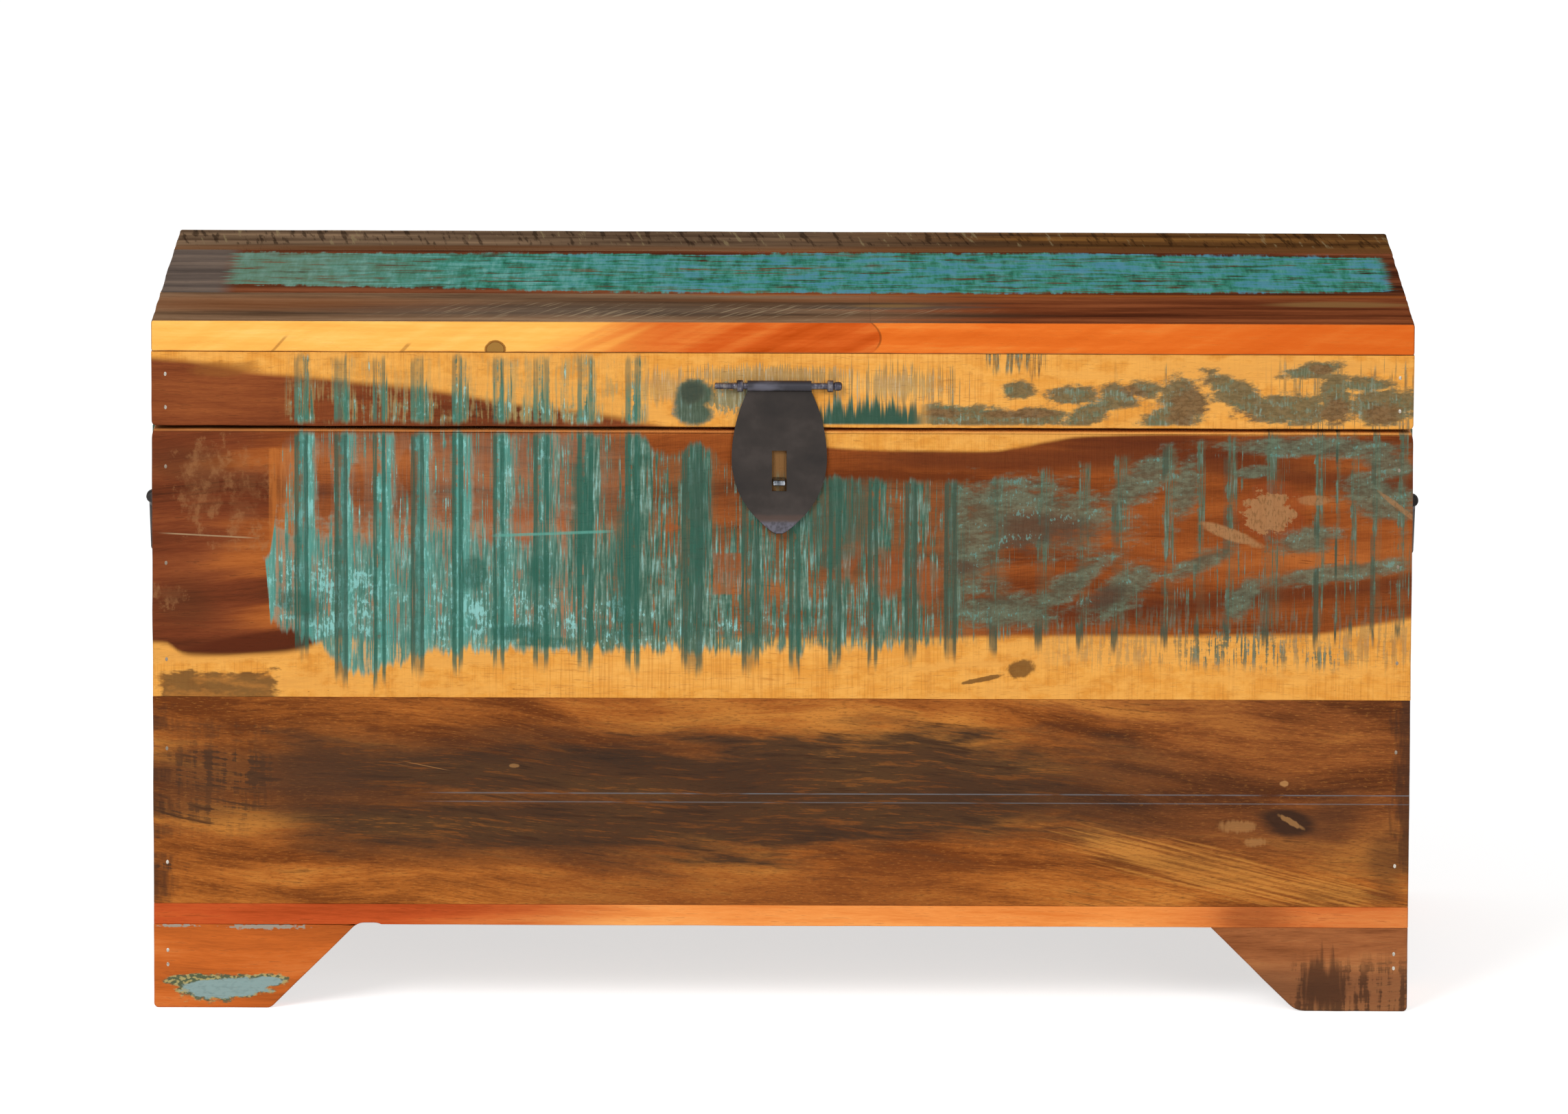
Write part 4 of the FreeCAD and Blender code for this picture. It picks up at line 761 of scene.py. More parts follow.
def front_plank_wood():
    """The lid's front plank: dark and scratched on top, its sawn edge amber to orange red."""
    wood = Wood("front_plank_wood", 131, "xyz", sway=14)
    u, v, w, broad, streak = wood.u, wood.v, wood.w, wood.broad, wood.streak
    wood.color = wood.tones("5a4230", "8a694e", "a98768")
    wood.coat(wood.tones("4f2616", "7c4024", "a25a34"), (u + broad.swing(260)).step(20, 160))
    wood.coat("645a50", wood.patches(((-150, -150, 150, 26), (60, -135, 60, 10)), streak, 2.0, 0.6) * 0.65)
    wood.coat("9c5c32", wood.patches(((-320, -130, 110, 34), (10, -108, 120, 9)), broad, 2.0, 0.6) * 0.5)
    wood.coat("3c281c", wood.patches(((-80, -125, 120, 24),), streak, 2.0, 0.6) * 0.5)
    scratch = wood.noise((2.2, 3.0, 30), 132, at=(u - v * 0.5, v * 0.07, w)).step(0.57, 0.66)
    sawn = wood.patches(((-80, -155, 170, 32),), broad, 1.6, 0.5) * scratch
    wood.coat("b8a180", sawn * 0.6)
    wood.coat("9a7446", wood.patches(((352, -118, 44, 12), (70, -128, 26, 8)), broad, 1.8, 0.4) * 0.7)
    wood.coat("b0622c", (v + broad.swing(14)).step(-89, -83) * u.step(-90, -30) * 0.6)

    # Its edge: amber at the left, red in the middle, and orange right of a joint
    veins = wood.noise((120, 5, 30), 133, 4, 0.55, (u, w + broad.swing(4), v))
    swirl = wood.noise((22, 60, 30), 134, 3, at=(u - w * 2.2, w, v))
    grainy = veins.swing(0.55) + wood.fibre.swing(0.2) + 0.5
    amber = wood.ramp(grainy + swirl.swing(0.3), {0.3: "eda347", 0.5: "fab556", 0.7: "ffc76c"})
    red = wood.ramp(grainy + swirl.swing(0.8), {0.26: "b3450f", 0.5: "cd5b20", 0.74: "df7b35"})
    orange = wood.ramp(grainy + swirl.swing(0.3), {0.26: "cc5a18", 0.5: "df6e26", 0.74: "ee8f3e"})
    middle = wood.mix("e58a3c", red, (u + swirl.swing(60)).step(-125, -60))
    edge = wood.mix(amber, middle, (u - (w - 434) * 2.0 + swirl.swing(110)).step(-150, -85))
    joint = u - 62 + (w - 434) * (w - 434) * 0.06
    edge = wood.mix(edge, orange, joint.step(-0.6, 0.6))
    edge = wood.mix(edge, "c9561a", (u + veins.swing(200)).step(200, 340) * 0.5 * joint.step(0, 1))
    crack = abs(joint).step(0.9, 0.3) * w.step(424, 431)
    disc = wood.math("SQRT", (u + 182) * (u + 182) + (w - 425.5) * (w - 425.5)) + streak.swing(2)
    cracks = abs(u + 318 - (w - 430) * 0.9).step(1.6, 0.4) * w.step(436, 432)
    cracks = cracks | abs(u + 238 - (w - 428) * 0.9).step(2.2, 0.6) * w.step(431, 428)
    edge = wood.mix(edge, "9c7238", disc.step(6, 5.6))
    dark = crack * 0.7 | abs(disc - 6).step(0.9, 0.4) | cracks * 0.6
    edge = wood.mix(edge, "6b3a16", dark * 0.75)
    wood.coat(edge, (wood.facing["y"] * -1).step(0.35, 0.75))
    return wood.waxed(None, ("z", -1), sawn * 0.1 - dark * 0.3, gloss=0.0)


def middle_plank_wood():
    """The lid's middle plank, under a long streaked band of teal, green and blue paint."""
    wood = Wood("middle_plank_wood", 141, "xyz", sway=6)
    u, v = wood.u, wood.v
    wood.color = wood.tones("3c2218", "703c24", "9a5a3a")
    wood.coat(wood.tones("4a443f", "6c655e", "857c70"), u.step(-350, -366) * 0.8)
    comb = wood.noise((5, 60, 20), 142, 3, 0.65)
    rows = wood.noise((60, 3.2, 8), 143, 4, 0.6)
    cells = wood.noise((26, 12, 12), 144, 5, 0.65)
    back = wood.ridge({-420: 96, -100: 96, -60: 90, 0: 100, 100: 103, 260: 98, 420: 88})
    front = wood.ridge({-420: -40, -250: -56, -20: -74, 300: -68, 420: -56})
    eaten = comb.swing(26) + rows.swing(30)
    zone = (back - v + eaten).step(-2, 4) * (v - front + eaten).step(-2, 4)
    zone = zone * (u + rows.swing(30)).step(-362, -352) * (u + rows.swing(24)).step(394, 388)
    film = zone * (rows + cells.swing(0.8)).step(0.30, 0.42)
    tint = rows.swing(0.9) + cells.swing(1.6) + comb.swing(1.1) + 0.5
    paint = wood.ramp(tint, {0.2: "2a705e", 0.4: "3f957c", 0.58: "55a69a", 0.78: "7cc0b2"})
    paint = wood.mix(paint, "87947c", (u + cells.swing(200)).step(-180, -330) * 0.55)
    blue = (rows * 0.5 + 0.15 + cells.swing(1.6) + comb.swing(0.4)).step(0.40, 0.56)
    paint = wood.mix(paint, "4d93b8", blue * (u + cells.swing(400)).step(-200, 40) * 0.7)
    wood.coat(paint, film * 0.94)
    wood.coat("8f4a22", (v + rows.swing(12)).step(-74, -79) * u.step(-120, -20) * 0.6)
    return wood.waxed(film, ("z", -1), gloss=0.0)


def back_plank_wood():
    """The lid's back plank: brown, with saw marks across it."""
    wood = Wood("back_plank_wood", 151, "xyz", sway=10)
    u, v, broad = wood.u, wood.v, wood.broad
    wood.color = wood.tones("5c4635", "846a52", "a68668")
    wood.coat(wood.tones("4a2f17", "704a28", "a06f38"), (u + broad.swing(300)).step(-60, 200))
    kerf = wood.noise((5, 70, 20), 152, 3, 0.6, (u + v * 0.1, v, wood.w))
    far = (v + broad.swing(20)).step(126, 140)
    wood.coat("24160e", kerf.step(0.55, 0.66) * far * 0.65)
    wood.coat("a8946c", kerf.step(0.40, 0.32) * far * 0.5)
    wood.coat("80502e", (v + broad.swing(26)).step(136, 118) * 0.6)
    return wood.waxed(None, ("z", -1), kerf.step(0.56, 0.68) * -0.25, gloss=0.0)


def old_board(name, lay, seed, tones, other, cover, inside):
    """A board of the sides or back: two woods run into each other, and some paint may be left."""
    wood = Wood(name, seed, lay, sway=14, slant=0.03)
    wood.color = wood.tones(*tones)
    drift = wood.noise((260, 40, 60), seed + 5, 3)
    wood.coat(wood.tones(*other), drift.step(0.46, 0.56))
    if not cover:
        smoke = wood.noise((110, 14, 40), seed + 9, 4, 0.6)
        wood.coat("37291f", smoke.step(0.54, 0.72) * 0.6)
        return wood.waxed(inside=inside)
    paint = Paint(wood, seed + 6, {-420: 0, -250: 6, -60: 13, 120: 21, 280: 27, 420: 32})
    region = wood.noise((150, 46, 60), seed + 8, 3)
    zone = (region + paint.column.swing(0.3)).step(0.62 - cover * 0.3, 0.72 - cover * 0.3)
    film = paint.film(0.66) * zone
    stripe = paint.stripes() * zone * paint.brush.step(0.22, 0.46)
    wood.coat(paint.color(drift.step(0.5, 0.6), 0.15), film * 0.9)
    wood.coat("2b6552", stripe * 0.8)
    return wood.waxed(film | stripe, inside, paint.raised() * zone)


def foot_wood(name, lay, inside):
    return old_board(name, lay, sum(ord(letter) for letter in name) % 50 + 200, RED, TAN, 0, inside)


def plain_wood(name, lay, seed):
    """Sawn wood that was never finished, inside the chest."""
    wood = Wood(name, seed, lay, long=180, sway=8)
    wood.color = wood.tones("6e4c2b", "9a7448", "ba905c")
    kerf = wood.noise((2.4, 40, 40), seed + 5)
    return wood.finish(0.7 + wood.streak.swing(0.2), wood.height + kerf * 0.15, gloss=0.3)


def hasp_metal():
    """The hasp's smooth brown-black sheet, with a painted bluish highlight on its roll and a painted
    purple-grey sheen on its bent tip.
    """
    sheet = Sheet("hasp_iron")
    cloud = sheet.noise((30, 22, 14), 700, 3, 0.55)
    fine = sheet.noise((2.2, 3.5, 2), 701, 3, 0.6)
    up = sheet.v + fine.swing(2)
    tip = up.step(318, 315)
    sheet.color = sheet.ramp(cloud + fine.swing(0.12), {0.3: "211b18", 0.5: "2b2420", 0.72: "3a322e"})
    sheet.coat("4a3830", up.step(322, 319.5) * (1 - tip) * 0.7)
    # Painted sheen: the bent tip faces up and is coloured purple-grey as if lit from above
    sheet.coat(sheet.mix("3e3b42", "57555f", fine.step(0.35, 0.6)), tip * 0.85)
    # Painted highlight: the roll round the rod is coloured bluish grey where light from above would catch it
    sheet.coat(sheet.mix("333239", "5c5b66", cloud.step(0.45, 0.62)), up.step(400.5, 402) * 0.85)
    return sheet.finish(0.44 + cloud.swing(0.2), fine * 0.03, metal=0.55)


def metal(name, dark, mid, light, seed, shine=0.6, rough=0.42, scale=1.0, dull=None):
    """Blackened or bare iron, mottled and a little pitted. Dull gives two heights that it is dark between."""
    sheet = Sheet(name)
    cloud = sheet.noise((14 * scale,) * 3, seed, 4, 0.6)
    pits = sheet.noise((1.6,) * 3, seed + 1)
    brushed = sheet.noise((1.0, 12, 8), seed + 2)
    sheet.color = sheet.ramp(cloud + brushed.swing(0.35), {0.3: dark, 0.5: mid, 0.72: light})
    if dull:
        low, high = dull
        sheet.coat(dark, sheet.v.step(low - 1, low + 1) * sheet.v.step(high + 1, high - 1) * 0.85)
    return sheet.finish(rough + cloud.swing(0.3) + brushed.swing(0.2), pits * 0.08, metal=shine)


# Meshes: boards from outlines, and bent or turned metal


def place_in_scene(name, data):
    """A new object in the scene."""
    thing = bpy.data.objects.new(name, data)
    bpy.context.scene.collection.objects.link(thing)
    return thing


def make(name, part, material, node, smooth_angle=40):
    """A mesh in place of a node of the frame, from points in millimetres, with the node's body. The node's
    slot is only looked up.
    """
    points, faces = part
    mesh = bpy.data.meshes.new(name)
    mesh.from_pydata([tuple(axis * MM for axis in point) for point in points], [], faces)
    work = bmesh.new()
    work.from_mesh(mesh)
    bmesh.ops.recalc_face_normals(work, faces=work.faces)
    work.to_mesh(mesh)
    work.free()
    mesh.materials.append(material)
    mesh.shade_smooth()
    mesh.set_sharp_from_angle(angle=math.radians(smooth_angle))
    piece = place_in_scene(name, mesh)
    piece.modifiers.new("flat_faces", "WEIGHTED_NORMAL").keep_sharp = True
    record = frame["record"]
    bodies = record["behaviour"]["bodies"]
    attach(piece, next(body for body, members in bodies.items() if node in members))
    next(entry["material_slot"] for entry in record["subparts"] if entry["node"] == node)
    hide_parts(node)
    return piece


def together(parts):
    """Join the points and faces of several parts."""
    points = []
    faces = []
    for part_points, part_faces in parts:
        start = len(points)
        points += part_points
        faces += [tuple(start + corner for corner in face) for face in part_faces]
    return points, faces


def moved(part, at, turn=Matrix.Identity(3)):
    """A part turned by a matrix and put at a point."""
    points, faces = part
    return [tuple(turn @ Vector(point) + Vector(at)) for point in points], faces


def skin(rings):
    """Faces between rings of equally many points, closed at both ends."""
    count = len(rings[0])
    faces = []
    for start in range(0, (len(rings) - 1) * count, count):
        for place in range(count):
            near = (place + 1) % count
            faces.append((start + place, start + near, start + count + near, start + count + place))
    faces.append(tuple(range(count)))
    faces.append(tuple(range((len(rings) - 1) * count, len(rings) * count)))
    return [point for ring in rings for point in ring], faces


def inward(outline):
    """For each point of an outline that runs left round, the mitred step towards its inside."""
    steps = []
    for place, point in enumerate(outline):
        before, here, after = (Vector(end[:2]) for end in (
            outline[place - 1], point, outline[(place + 1) % len(outline)],
        ))
        first = (here - before).normalized()
        second = (after - here).normalized()
        first_in = Vector((-first.y, first.x))
        total = first_in + Vector((-second.y, second.x))
        steps.append(total / max(total.dot(first_in), 0.3))
    return steps


def slab(outline, low, high, lay):
    """A board from an outline of (u, v, rim) points, its rims rounded by each point's own rim."""
    steps = inward(outline)
    rings = []
    angles = [math.pi / 2 * step / RIM_STEPS for step in range(RIM_STEPS + 1)]
    for face, way, order in ((low, 1, angles), (high, -1, reversed(angles))):
        for angle in order:
            ring = []
            for (u, v, rim), step in zip(outline, steps):
                inset = rim * (1 - math.sin(angle))
                place = (u + step.x * inset, v + step.y * inset, face + way * rim * (1 - math.cos(angle)))
                ring.append(tuple(place[lay.index(letter)] for letter in "xyz"))
            rings.append(ring)
    return skin(rings)


def worn(outline, seed, bite=0.25):
    """The same outline with its rims and its line a little uneven, never outside the old line."""
    result = []
    for (u, v, rim), step in zip(outline, inward(outline)):
        wave = noise.noise(Vector((u / WEAR_LONG, v / WEAR_LONG, seed)))
        wave += 0.5 * noise.noise(Vector((u / WEAR_SHORT, v / WEAR_SHORT, seed + 5)))
        deep = bite * min(1, rim) * max(0, 0.5 + wave)
        result.append((u + step.x * deep, v + step.y * deep, rim * (1 + 0.45 * wave)))
    return result


def arc(centre, radii, start, end, rims, count=6):
    """Points of an elliptical arc between two angles in degrees, their rim going from one to the other."""
    points = []
    for place in range(count + 1):
        share = place / count
        angle = math.radians(start + (end - start) * share)
        points.append((
            centre[0] + radii[0] * math.cos(angle),
            centre[1] + radii[1] * math.sin(angle),
            rims[0] + (rims[1] - rims[0]) * share,
        ))
    return points


def filled(points, pitch=11):
    """The same line with more points on its long stretches, without its last point."""
    result = []
    for here, after in zip(points, points[1:]):
        count = max(1, round(math.dist(here[:2], after[:2]) / pitch))
        for step in range(count):
            result.append(tuple(a + (b - a) * (step / count) for a, b in zip(here, after)))
    return result


def rectangle(low, high, rims, eases):
    """A closed outline. Rims are those of its foot, ends and head, eases of its lower and upper corners."""
    (left, below), (right, above) = low, high
    foot, ends, head = rims
    lower, upper = eases
    points = []
    for u, v, (wide, tall), start, pair in (
        (right, below, lower, -90, (foot, ends)),
        (right, above, upper, 0, (ends, head)),
        (left, above, upper, 90, (head, ends)),
        (left, below, lower, 180, (ends, foot)),
    ):
        centre = (u - wide if u == right else u + wide, v - tall if v == above else v + tall)
        points += arc(centre, (wide, tall), start, start + 90, pair)
    return filled([*points, points[0]])


def extents(node, lay="xyz"):
    """A node's box in millimetres, as its lowest and highest u, v and w."""
    return [[corner["xyz".index(letter)] / MM for letter in lay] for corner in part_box(node)]


def worn_board(node, lay, outline, material, seed):
    """A worn board of any outline in place of a frame's node, and as thick as it."""
    low, high = extents(node, lay)
    make(f"worn_{node}", slab(worn(outline, seed), low[2], high[2], lay), material, node)


def board(node, lay, material, seed, rims, eases=(SHARP, SHARP)):
    """A worn board with four sides."""
    low, high = extents(node, lay)
    worn_board(node, lay, rectangle(low[:2], high[:2], rims, eases), material, seed)


def lathe(profile, axis, at, count=28):
    """A turned part: (along, radius) pairs turned about an axis through a point."""
    turn = Matrix.Rotation(math.pi / 2, 3, "Y") if axis == "x" else Matrix.Rotation(-math.pi / 2, 3, "X")
    rings = []
    for along, radius in profile:
        rings.append([(out, over, along) for out, over in ring_section(radius, count)])
    return moved(skin(rings), at, turn)


def band(bore, outer, half, at, soft=0.5, count=28):
    """A ring of flat strip round X, with softened edges."""
    profile = (
        (-half, bore + soft), (-half, outer - soft), (-half + soft, outer),
        (half - soft, outer), (half, outer - soft), (half, bore + soft),
        (half - soft, bore), (-half + soft, bore),
    )
    points, faces = lathe(profile, "x", at, count)
    last = (len(profile) - 1) * count
    pairs = [(place, (place + 1) % count) for place in range(count)]
    return points, faces[:-2] + [(last + here, last + near, near, here) for here, near in pairs]


def sweep(path, sections):
    """A bar bent in the YZ plane. Sections hold (out, over) points, over being along X."""
    across = Vector((1, 0, 0))
    rings = []
    for place, point in enumerate(path):
        here = Vector(point)
        before = Vector(path[max(place - 1, 0)])
        after = Vector(path[min(place + 1, len(path) - 1)])
        out = across.cross((after - before).normalized())
        rings.append([tuple(here + out * side + across * over) for side, over in sections[place]])
    return skin(rings)


def bent_strip(corners, radii, thick, wide, soft):
    """A flat bar with softened edges, bent round corners in the YZ plane."""
    section = rectangle((-thick / 2, -wide / 2), (thick / 2, wide / 2), (0,) * 3, ((soft, soft),) * 2)
    path = bend(corners, radii)
    return sweep(path, [[point[:2] for point in section]] * len(path))


def ring_section(radius, count=16):
    angles = [2 * math.pi * place / count for place in range(count)]
    return [(radius * math.cos(angle), radius * math.sin(angle)) for angle in angles]


def bend(points, radii, count=7):
    """A path through corner points, each corner rounded by its radius. All in one plane."""
    path = [Vector(points[0])]
    for before, corner, after, radius in zip(points, points[1:], points[2:], radii):
        corner = Vector(corner)
        arrive = (Vector(before) - corner).normalized()
        leave = (Vector(after) - corner).normalized()
        half = arrive.angle(leave) / 2
        centre = corner + (arrive + leave).normalized() * (radius / math.sin(half))
        start = corner + arrive * (radius / math.tan(half)) - centre
        end = corner + leave * (radius / math.tan(half)) - centre
        path += [centre + start.slerp(end, step / count) for step in range(count + 1)]
    return [tuple(point) for point in (*path, Vector(points[-1]))]


# Boards of the front and of the lid's top


def front_boards():
    joint, free, top = JOINT_RIM, FREE_RIM, TOP_RIM
    nose = (1.6, 1.6)
    for seed, (node, lay, wood, rims, eases) in enumerate((
        ("front_board_upper", "xzy", front_upper_wood, (joint, free, 1.1), (SHARP, (2, 8))),
        ("front_board_lower", "xzy", front_lower_wood, (joint, free, joint), (SHARP, SHARP)),
        ("lid_board_front", "xzy", lid_front_wood, (1, free, joint), ((2.6, 3), SHARP)),
        ("lid_plank_front", "xyz", front_plank_wood, (1.6, top, joint), (nose, SHARP)),
        ("lid_plank_middle", "xyz", middle_plank_wood, (0.8, top, 0.8), (SHARP, SHARP)),
        ("lid_plank_back", "xyz", back_plank_wood, (joint, top, 1.6), (SHARP, nose)),
    ), 1):
        board(node, lay, wood(), seed, rims, eases)

    # The rail carries the round of the left foot's cut on into itself
    (left, foot, _), (right, head, _) = extents("front_rail", "xzy")
    start = left + cove_centre()[0]
    below = foot + COVE_OVER - COVE_ROUND
    outline = arc((start, below), (COVE_ROUND,) * 2, 180 - COVE_LIFT, 90, (0.6, 0.6), 5)
    outline += arc((start + COVE_FLAT, below), (COVE_ROUND,) * 2, 90, COVE_LIFT, (0.6, 0.6), 5)
    outline += [
        (right - END_CUT, foot, joint), (right, foot + END_CUT, free),
        (right, head - END_CUT, free), (right - END_CUT, head, joint),
        (left + END_CUT, head, joint), (left, head - END_CUT, free),
        (left, foot + END_CUT, free), (left + END_CUT, foot, joint),
        outline[0],
    ]
    worn_board("front_rail", "xzy", filled(outline), rail_wood(), 7)


def cove_centre():
    """The middle of the round that the saw left at the top of the left foot's cut."""
    up = FOOT_HIGH + COVE_OVER - COVE_ROUND
    return FRONT_FOOT["left"][0] + up + COVE_ROUND * math.sqrt(2), up


def foot(node, lay, cut, material, mirrored, seed, cove=False):
    """A foot of some length at the floor, its slanting cut rounded below, and above if it has a cove."""
    wide, inner_round = cut
    low, high = extents(node, lay)
    tall = high[1]
    off = inner_round * math.tan(math.radians(22.5))
    points = arc((wide - off, inner_round), (inner_round,) * 2, -90, -45, (1.2, 1.2))
    if cove:
        points += arc(cove_centre(), (COVE_ROUND,) * 2, 135, 180 - COVE_LIFT, (1.0, 1.0), 3)
    else:
        points += [(wide + tall - END_CUT, tall - END_CUT, 1.0), (wide + tall - 1, tall, JOINT_RIM)]
    points += [(END_CUT, tall, JOINT_RIM), (0, tall - END_CUT, FREE_RIM)]
    points += arc((FOOT_OUTER_ROUND,) * 2, (FOOT_OUTER_ROUND,) * 2, 180, 270, (FREE_RIM, FREE_RIM))
    outline = filled([*points, points[0]])
    if mirrored:
        outline = [(high[0] - u, v, rim) for u, v, rim in reversed(outline)]
    else:
        outline = [(low[0] + u, v, rim) for u, v, rim in outline]
    worn_board(node, lay, outline, material, seed)


def feet():
    """All eight feet. The back feet are cut like the front ones, the end feet narrower."""
    for side, own_wood in (("left", left_foot_wood), ("right", right_foot_wood)):
        mirrored = side == "right"
        foot(f"front_foot_{side}", "xzy", FRONT_FOOT[side], own_wood(), mirrored, 11, not mirrored)
        name = f"back_foot_{side}"
        foot(name, "xzy", FRONT_FOOT[side], foot_wood(f"{name}_wood", "xzy", ("y", -1)), mirrored, 11)
    for side, inside in (("left", ("x", 1)), ("right", ("x", -1))):
        for end in ("front", "back"):
            name = f"{side}_foot_{end}"
            foot(name, "yzx", END_FOOT, foot_wood(f"{name}_wood", "yzx", inside), end == "back", 12)


# The other walls, and the wood inside


def other_walls():
    joint = JOINT_RIM
    for side, first, lay, ends, inside, upper_other, rail_other in (
        ("back", 300, "xzy", FREE_RIM, ("y", -1), TAN, WARM),
        ("left", 400, "yzx", joint, ("x", 1), GOLDEN, GOLDEN),
        ("right", 500, "yzx", joint, ("x", -1), GOLDEN, GOLDEN),
    ):
        for name, offset, tones, other, cover, foot_rim, head_rim in (
            (f"{side}_board_upper", 10, WARM, upper_other, 1, joint, 1.1),
            (f"{side}_board_lower", 30, TAN, BROWN, 0, joint, joint),
            (f"{side}_rail", 50, RED, rail_other, 0, 0.8, joint),
            (f"lid_board_{side}", 70, GOLDEN, WARM, 0.6, 1, joint),
        ):
            seed = first + offset
            wood = old_board(f"{name}_wood", lay, seed, tones, other, cover, inside)
            board(name, lay, wood, seed, (foot_rim, ends, head_rim))


def inner_wood():
    """Bottom boards, cleats, posts, battens and the blocks behind the feet."""
    eases = ((1, 1),) * 2
    rims = (RAW_RIM,) * 3
    flat = plain_wood("inner_flat_wood", "xyz", 601)
    cross = plain_wood("inner_cross_wood", "yxz", 611)
    upright = plain_wood("inner_upright_wood", "zxy", 621)
    for count in (1, 2, 3):
        board(f"bottom_board_{count}", "xyz", flat, 20 + count, rims, eases)
    for end in ("front", "back"):
        board(f"bottom_cleat_{end}", "xyz", flat, 24, rims, eases)
        for side in ("left", "right"):
            board(f"corner_post_{end}_{side}", "zxy", upright, 25, rims, eases)
    for side in ("left", "right"):
        board(f"bottom_cleat_{side}", "yxz", cross, 26, rims, eases)
        board(f"lid_batten_{side}", "yxz", cross, 27, (1.5,) * 3, eases)
    low, high = extents("corner_blocks")
    parts = []
    for x in (low[0], high[0] - BLOCK_WIDE):
        for y in (low[1], high[1] - BLOCK_WIDE):
            outline = rectangle((low[2], x), (high[2], x + BLOCK_WIDE), rims, eases)
            parts.append(slab(worn(outline, x + y), y, y + BLOCK_WIDE, "zxy"))
    make("worn_corner_blocks", together(parts), upright, "corner_blocks")


# Ironwork


def solids(node):
    """The boxes of a node's separate solids, in millimetres."""
    work = bmesh.new()
    work.from_mesh(frame["nodes"][node].data)
    bmesh.ops.remove_doubles(work, verts=work.verts, dist=1e-6)
    left = set(work.verts)
    boxes = []
    while left:
        stack = [left.pop()]
        found = []
        while stack:
            vertex = stack.pop()
            found.append(vertex.co / MM)
            near = {edge.other_vert(vertex) for edge in vertex.link_edges} & left
            left -= near
            stack += near
        boxes.append(tuple(Vector(pick(axis) for axis in zip(*found)) for pick in (min, max)))
    work.free()
    return sorted(boxes, key=lambda pair: tuple(round(value, 2) for value in (*pair[0], *pair[1])))


def brad_heads(node, material):
    """Small upset heads, just proud of the boards that they nail."""
    profile = ((-2.0, 1.0), (0.0, 1.15), (HEAD_PROUD * 0.7, 0.95), (HEAD_PROUD, 0.5), (HEAD_PROUD, 0.02))
    parts = []
    for low, high in solids(node):
        middle = (low + high) / 2
        face, sign = (low.y, -1) if middle.y < 0 else (high.y, 1)
        points, faces = lathe([(sign * along, radius) for along, radius in profile], "y", (0, 0, 0), 12)
        points = [(x * 0.8 + middle.x, y + face, z * 1.15 + middle.z) for x, y, z in points]
        parts.append((points, faces))
    make(f"{node}_heads", together(parts), material, node)


def hasp_half(drop):
    """Half of the hasp's width at a drop below its rod."""
    if drop <= HASP_NECK_DROP:
        return HASP_NECK_HALF
    if drop > HASP_BEND_DROP:
        share = (drop - HASP_BEND_DROP) / (HASP_TIP_DROP - HASP_BEND_DROP)
        return hasp_half(HASP_BEND_DROP) * (1 - share) ** 0.8 + HASP_TIP_HALF * share
    radius = HASP_UPPER_ROUND if drop <= HASP_WIDE_DROP else HASP_LOWER_ROUND
    return HASP_WIDE_HALF - radius + math.sqrt(radius ** 2 - (drop - HASP_WIDE_DROP) ** 2)


def hasp_plate(material):
    """Sheet rolled round the rod and cut to a leaf, in rows from its tip up to its rolled end."""
    rod_y, rod_z = ROD_AXIS
    tip_step = 1.5
    slot_foot, slot_head = SLOT_DROPS[1], SLOT_DROPS[0]
    drops = [HASP_TIP_DROP - step * tip_step for step in range(7)]
    drops += [82, 78, 74, 70.5, slot_foot, 64, 60, 56, 52, 48, 44.5, slot_head]
    drops += [38, 34, 29, 24, 19, 14, 9, 4.5, 2]
    bent = HASP_BEND_DROP - tip_step
    rows = []
    for drop in drops:
        share = max(0, (drop - bent) / (HASP_TIP_DROP - bent))
        rows.append((hasp_half(drop), rod_y + ROLL_RADIUS - HASP_TIP_OUT * share ** 1.35, rod_z - drop, drop))
    for step in range(ROLL_STEPS):
        angle = ROLL_TURN * step / ROLL_STEPS
        y, z = rod_y + ROLL_RADIUS * math.cos(angle), rod_z + ROLL_RADIUS * math.sin(angle)
        rows.append((HASP_NECK_HALF, y, z, -1))
    shares = (0, 0.03, 0.2, 0.4, 0.6, 0.8, 1)
    points = []
    for half, y, z, drop in rows:
        slot_half = min(SLOT_HALF, half * 0.4)
        left_side = [-half + (half - slot_half) * share for share in shares]
        for x in left_side + [0] + [-x for x in reversed(left_side)]:
            along = math.exp(-((drop - BELLY_DROP) / BELLY_SPREAD) ** 2)
            belly = BELLY_DEEP * along * (1 - (x / HASP_WIDE_HALF) ** 2)
            points.append((HASP_X + x, y - max(0, belly) if drop > 5 else y, z))
    count = len(shares) * 2 + 1
    faces = []
    for row in range(len(rows) - 1):
        in_slot = rows[row][3] <= slot_foot and rows[row + 1][3] >= slot_head
        for column in range(count - 1):
            if not (in_slot and column in (len(shares) - 1, len(shares))):
                start = row * count + column
                faces.append((start, start + 1, start + count + 1, start + count))
    piece = make("leaf_hasp_plate", (points, faces), material, "hasp_plate", 60)
    sheet = piece.modifiers.new("sheet", "SOLIDIFY")
    sheet.thickness = SHEET_THICK * MM
    sheet.offset = 0
    edge = piece.modifiers.new("filed_edge", "BEVEL")
    edge.width = 0.3 * MM
    edge.segments = 2
    edge.limit_method = "ANGLE"
    edge.angle_limit = math.radians(50)
    piece.modifiers.move(0, 2)


def split_pin(bore, reach, *at):
    """A strip folded round a bar: its ring, its legs through the board, and its tails bent apart.

    Before it is turned the ring's axis is X, and the legs run along +Y.
    """
    inside = reach + BOARD_THICK + PIN_THICK / 2
    parts = [band(bore, bore + 2 * PIN_OFF, PIN_WIDE / 2, (0, 0, 0))]
    for sign in (1, -1):
        corners = ((0, bore * 0.9, sign * PIN_OFF), (0, inside, sign * PIN_OFF), (0, inside, sign * PIN_TAIL))
        parts.append(bent_strip(corners, (1.6,), PIN_THICK, PIN_WIDE, 0.35))
    return moved(together(parts), *at)


